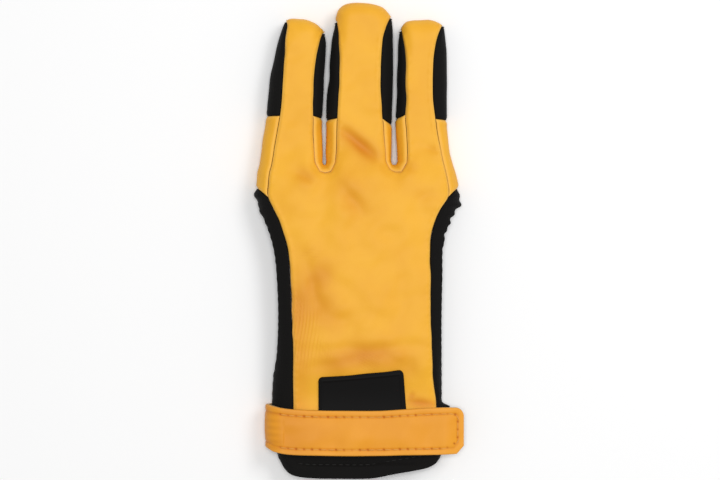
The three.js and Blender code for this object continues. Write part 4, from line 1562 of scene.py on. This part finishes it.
# The cuff's rim is turned in and held by a row of black stitches, on both sides of the tube
hem_columns = np.linspace(0.05, 0.95, 160)
hem_y = mouth_y + strap_rise * read(RIM, hem_columns) + hem_band
hem_x = mix(hand_edge("left", hem_y), hand_edge("right", hem_y), hem_columns)
hem_places = np.stack([hem_x, hem_y], 1)
for title, path, rise in (
    ("cuff_front_stitching", on_top(hem_places), 0.0),
    ("cuff_back_stitching", on_back(hem_places), 0.24),
):
    stitches(title, path + [0, 0, rise], black_thread, 3.2, 2.3, 0.24)

# %% [markdown]
# ## Hooks of the clasp
# Hook tape is a woven strip with rows of small plastic hooks. One bent hook is set on every point
# of a grid over the patch, each turned a little by chance.


# %% Hooks of the clasp
def hook_group():
    group = bpy.data.node_groups.new("hooks_on_points", "GeometryNodeTree")
    face_in = group.interface
    face_in.new_socket("Geometry", in_out="INPUT", socket_type="NodeSocketGeometry")
    for name, value in (("Hook radius", 0.00035), ("Wire", 0.00008), ("Turn", 0.5)):
        socket = face_in.new_socket(name, in_out="INPUT", socket_type="NodeSocketFloat")
        socket.default_value = value
    face_in.new_socket("Seed", in_out="INPUT", socket_type="NodeSocketInt").default_value = 3
    face_in.new_socket("Hook material", in_out="INPUT", socket_type="NodeSocketMaterial")
    face_in.new_socket("Geometry", in_out="OUTPUT", socket_type="NodeSocketGeometry")
    given = node(group, "NodeGroupInput").outputs
    bend = node(
        group,
        "GeometryNodeCurveArc",
        {
            "Resolution": 7,
            "Radius": given["Hook radius"],
            "Start Angle": -0.3,
            "Sweep Angle": 3.9,
        },
        mode="RADIUS",
    )
    wire = node(group, "GeometryNodeCurvePrimitiveCircle", {"Resolution": 5, "Radius": given["Wire"]})
    hook = node(
        group,
        "GeometryNodeCurveToMesh",
        {"Curve": bend.outputs["Curve"], "Profile Curve": wire.outputs["Curve"], "Fill Caps": True},
    )
    upright = node(
        group,
        "GeometryNodeTransform",
        {"Geometry": hook.outputs["Mesh"], "Rotation": (math.pi / 2, 0.0, 0.0)},
    )
    chance = node(
        group,
        "FunctionNodeRandomValue",
        {"Seed": given["Seed"]},
        data_type="FLOAT",
    )
    turn = node(
        group,
        "ShaderNodeMath",
        {0: chance.outputs[1], 1: given["Turn"]},
        operation="MULTIPLY",
    )
    facing = node(group, "ShaderNodeCombineXYZ", {"Z": turn.outputs[0]})
    points = node(group, "GeometryNodeMeshToPoints", {"Mesh": given["Geometry"]})
    set_down = node(
        group,
        "GeometryNodeInstanceOnPoints",
        {
            "Points": points.outputs["Points"],
            "Instance": upright.outputs["Geometry"],
            "Rotation": facing.outputs[0],
        },
    )
    real = node(group, "GeometryNodeRealizeInstances", {"Geometry": set_down.outputs[0]})
    painted = node(
        group,
        "GeometryNodeSetMaterial",
        {"Geometry": real.outputs[0], "Material": given["Hook material"]},
    )
    node(group, "NodeGroupOutput", {"Geometry": painted.outputs[0]})
    return group


HOOKS = hook_group()
hook_spacing = 1.1
hook_x = np.arange(patch_right - patch_width + 1, patch_right - 0.5, hook_spacing)
hook_low = strap_low_y + patch_rise
hook_y = np.arange(hook_low + 1, hook_low + patch_height - 0.5, hook_spacing)
hook_places = np.stack(np.meshgrid(hook_x, hook_y), -1).reshape(-1, 2)
hook_points = raised_by(hook_places, seam_gap + patch_wall + 0.25)
cloud = bpy.data.meshes.new("hook_points")
cloud.from_pydata(hook_points * 0.001, [], [])
holder = bpy.data.objects.new("hook_points", cloud)
bpy.context.scene.collection.objects.link(holder)
modifier = holder.modifiers.new("hooks", "NODES")
modifier.node_group = HOOKS
for item in HOOKS.interface.items_tree:
    if item.in_out == "INPUT" and item.name == "Hook material":
        modifier[item.identifier] = hook_tape
bpy.context.view_layer.update()
made = bpy.data.meshes.new_from_object(
    holder.evaluated_get(bpy.context.evaluated_depsgraph_get())
)
bpy.data.objects.remove(holder)
hooks = bpy.data.objects.new("hook_loop_patch_hooks", made)
bpy.context.scene.collection.objects.link(hooks)
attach(hooks, "root")
print(f"hooks: {len(hook_places)}, {len(made.polygons)} faces")

# %% [markdown]
# ## Table, light and camera
# The glove lies on a plain near-white table. Large soft lights above give the even light of a
# catalogue picture. The camera looks straight down from far off, as in the photograph.

# %% Table, light and camera
table_finish = plain("pale_table", "FAFAFA", 0.9, 50, 0.00001)
bpy.ops.mesh.primitive_plane_add(size=6, location=(0, 0, 0))
table = bpy.context.object
table.name = "table_top"
table.data.materials.append(table_finish)

world = bpy.data.worlds.new("studio")
bpy.context.scene.world = world
world.use_nodes = True
world.node_tree.nodes["Background"].inputs["Color"].default_value = (1, 1, 1, 1)
world.node_tree.nodes["Background"].inputs["Strength"].default_value = 0.39


def soft_light(name, place, aim, power, width):
    data = bpy.data.lights.new(name, "AREA")
    data.energy = power
    data.shape = "SQUARE"
    data.size = width
    lamp = bpy.data.objects.new(name, data)
    bpy.context.scene.collection.objects.link(lamp)
    lamp.location = place
    lamp.rotation_euler = (aim - lamp.location).to_track_quat("-Z", "Y").to_euler()


centre = Vector((0, 0, 0.01))
soft_light("top_light", (0.0, 0.05, 1.75), centre, 14, 0.45)
soft_light("key_light", (0.75, 0.6, 1.2), centre, 6.5, 0.6)

lens = bpy.data.cameras.new("camera_above")
lens.lens = 135
lens.sensor_width = 36
lens.clip_start = 0.01
camera = bpy.data.objects.new("camera_above", lens)
bpy.context.scene.collection.objects.link(camera)
camera.location = (0, 0, 1.296 + 0.012)
bpy.context.scene.camera = camera
bpy.context.scene.view_settings.view_transform = "Standard"
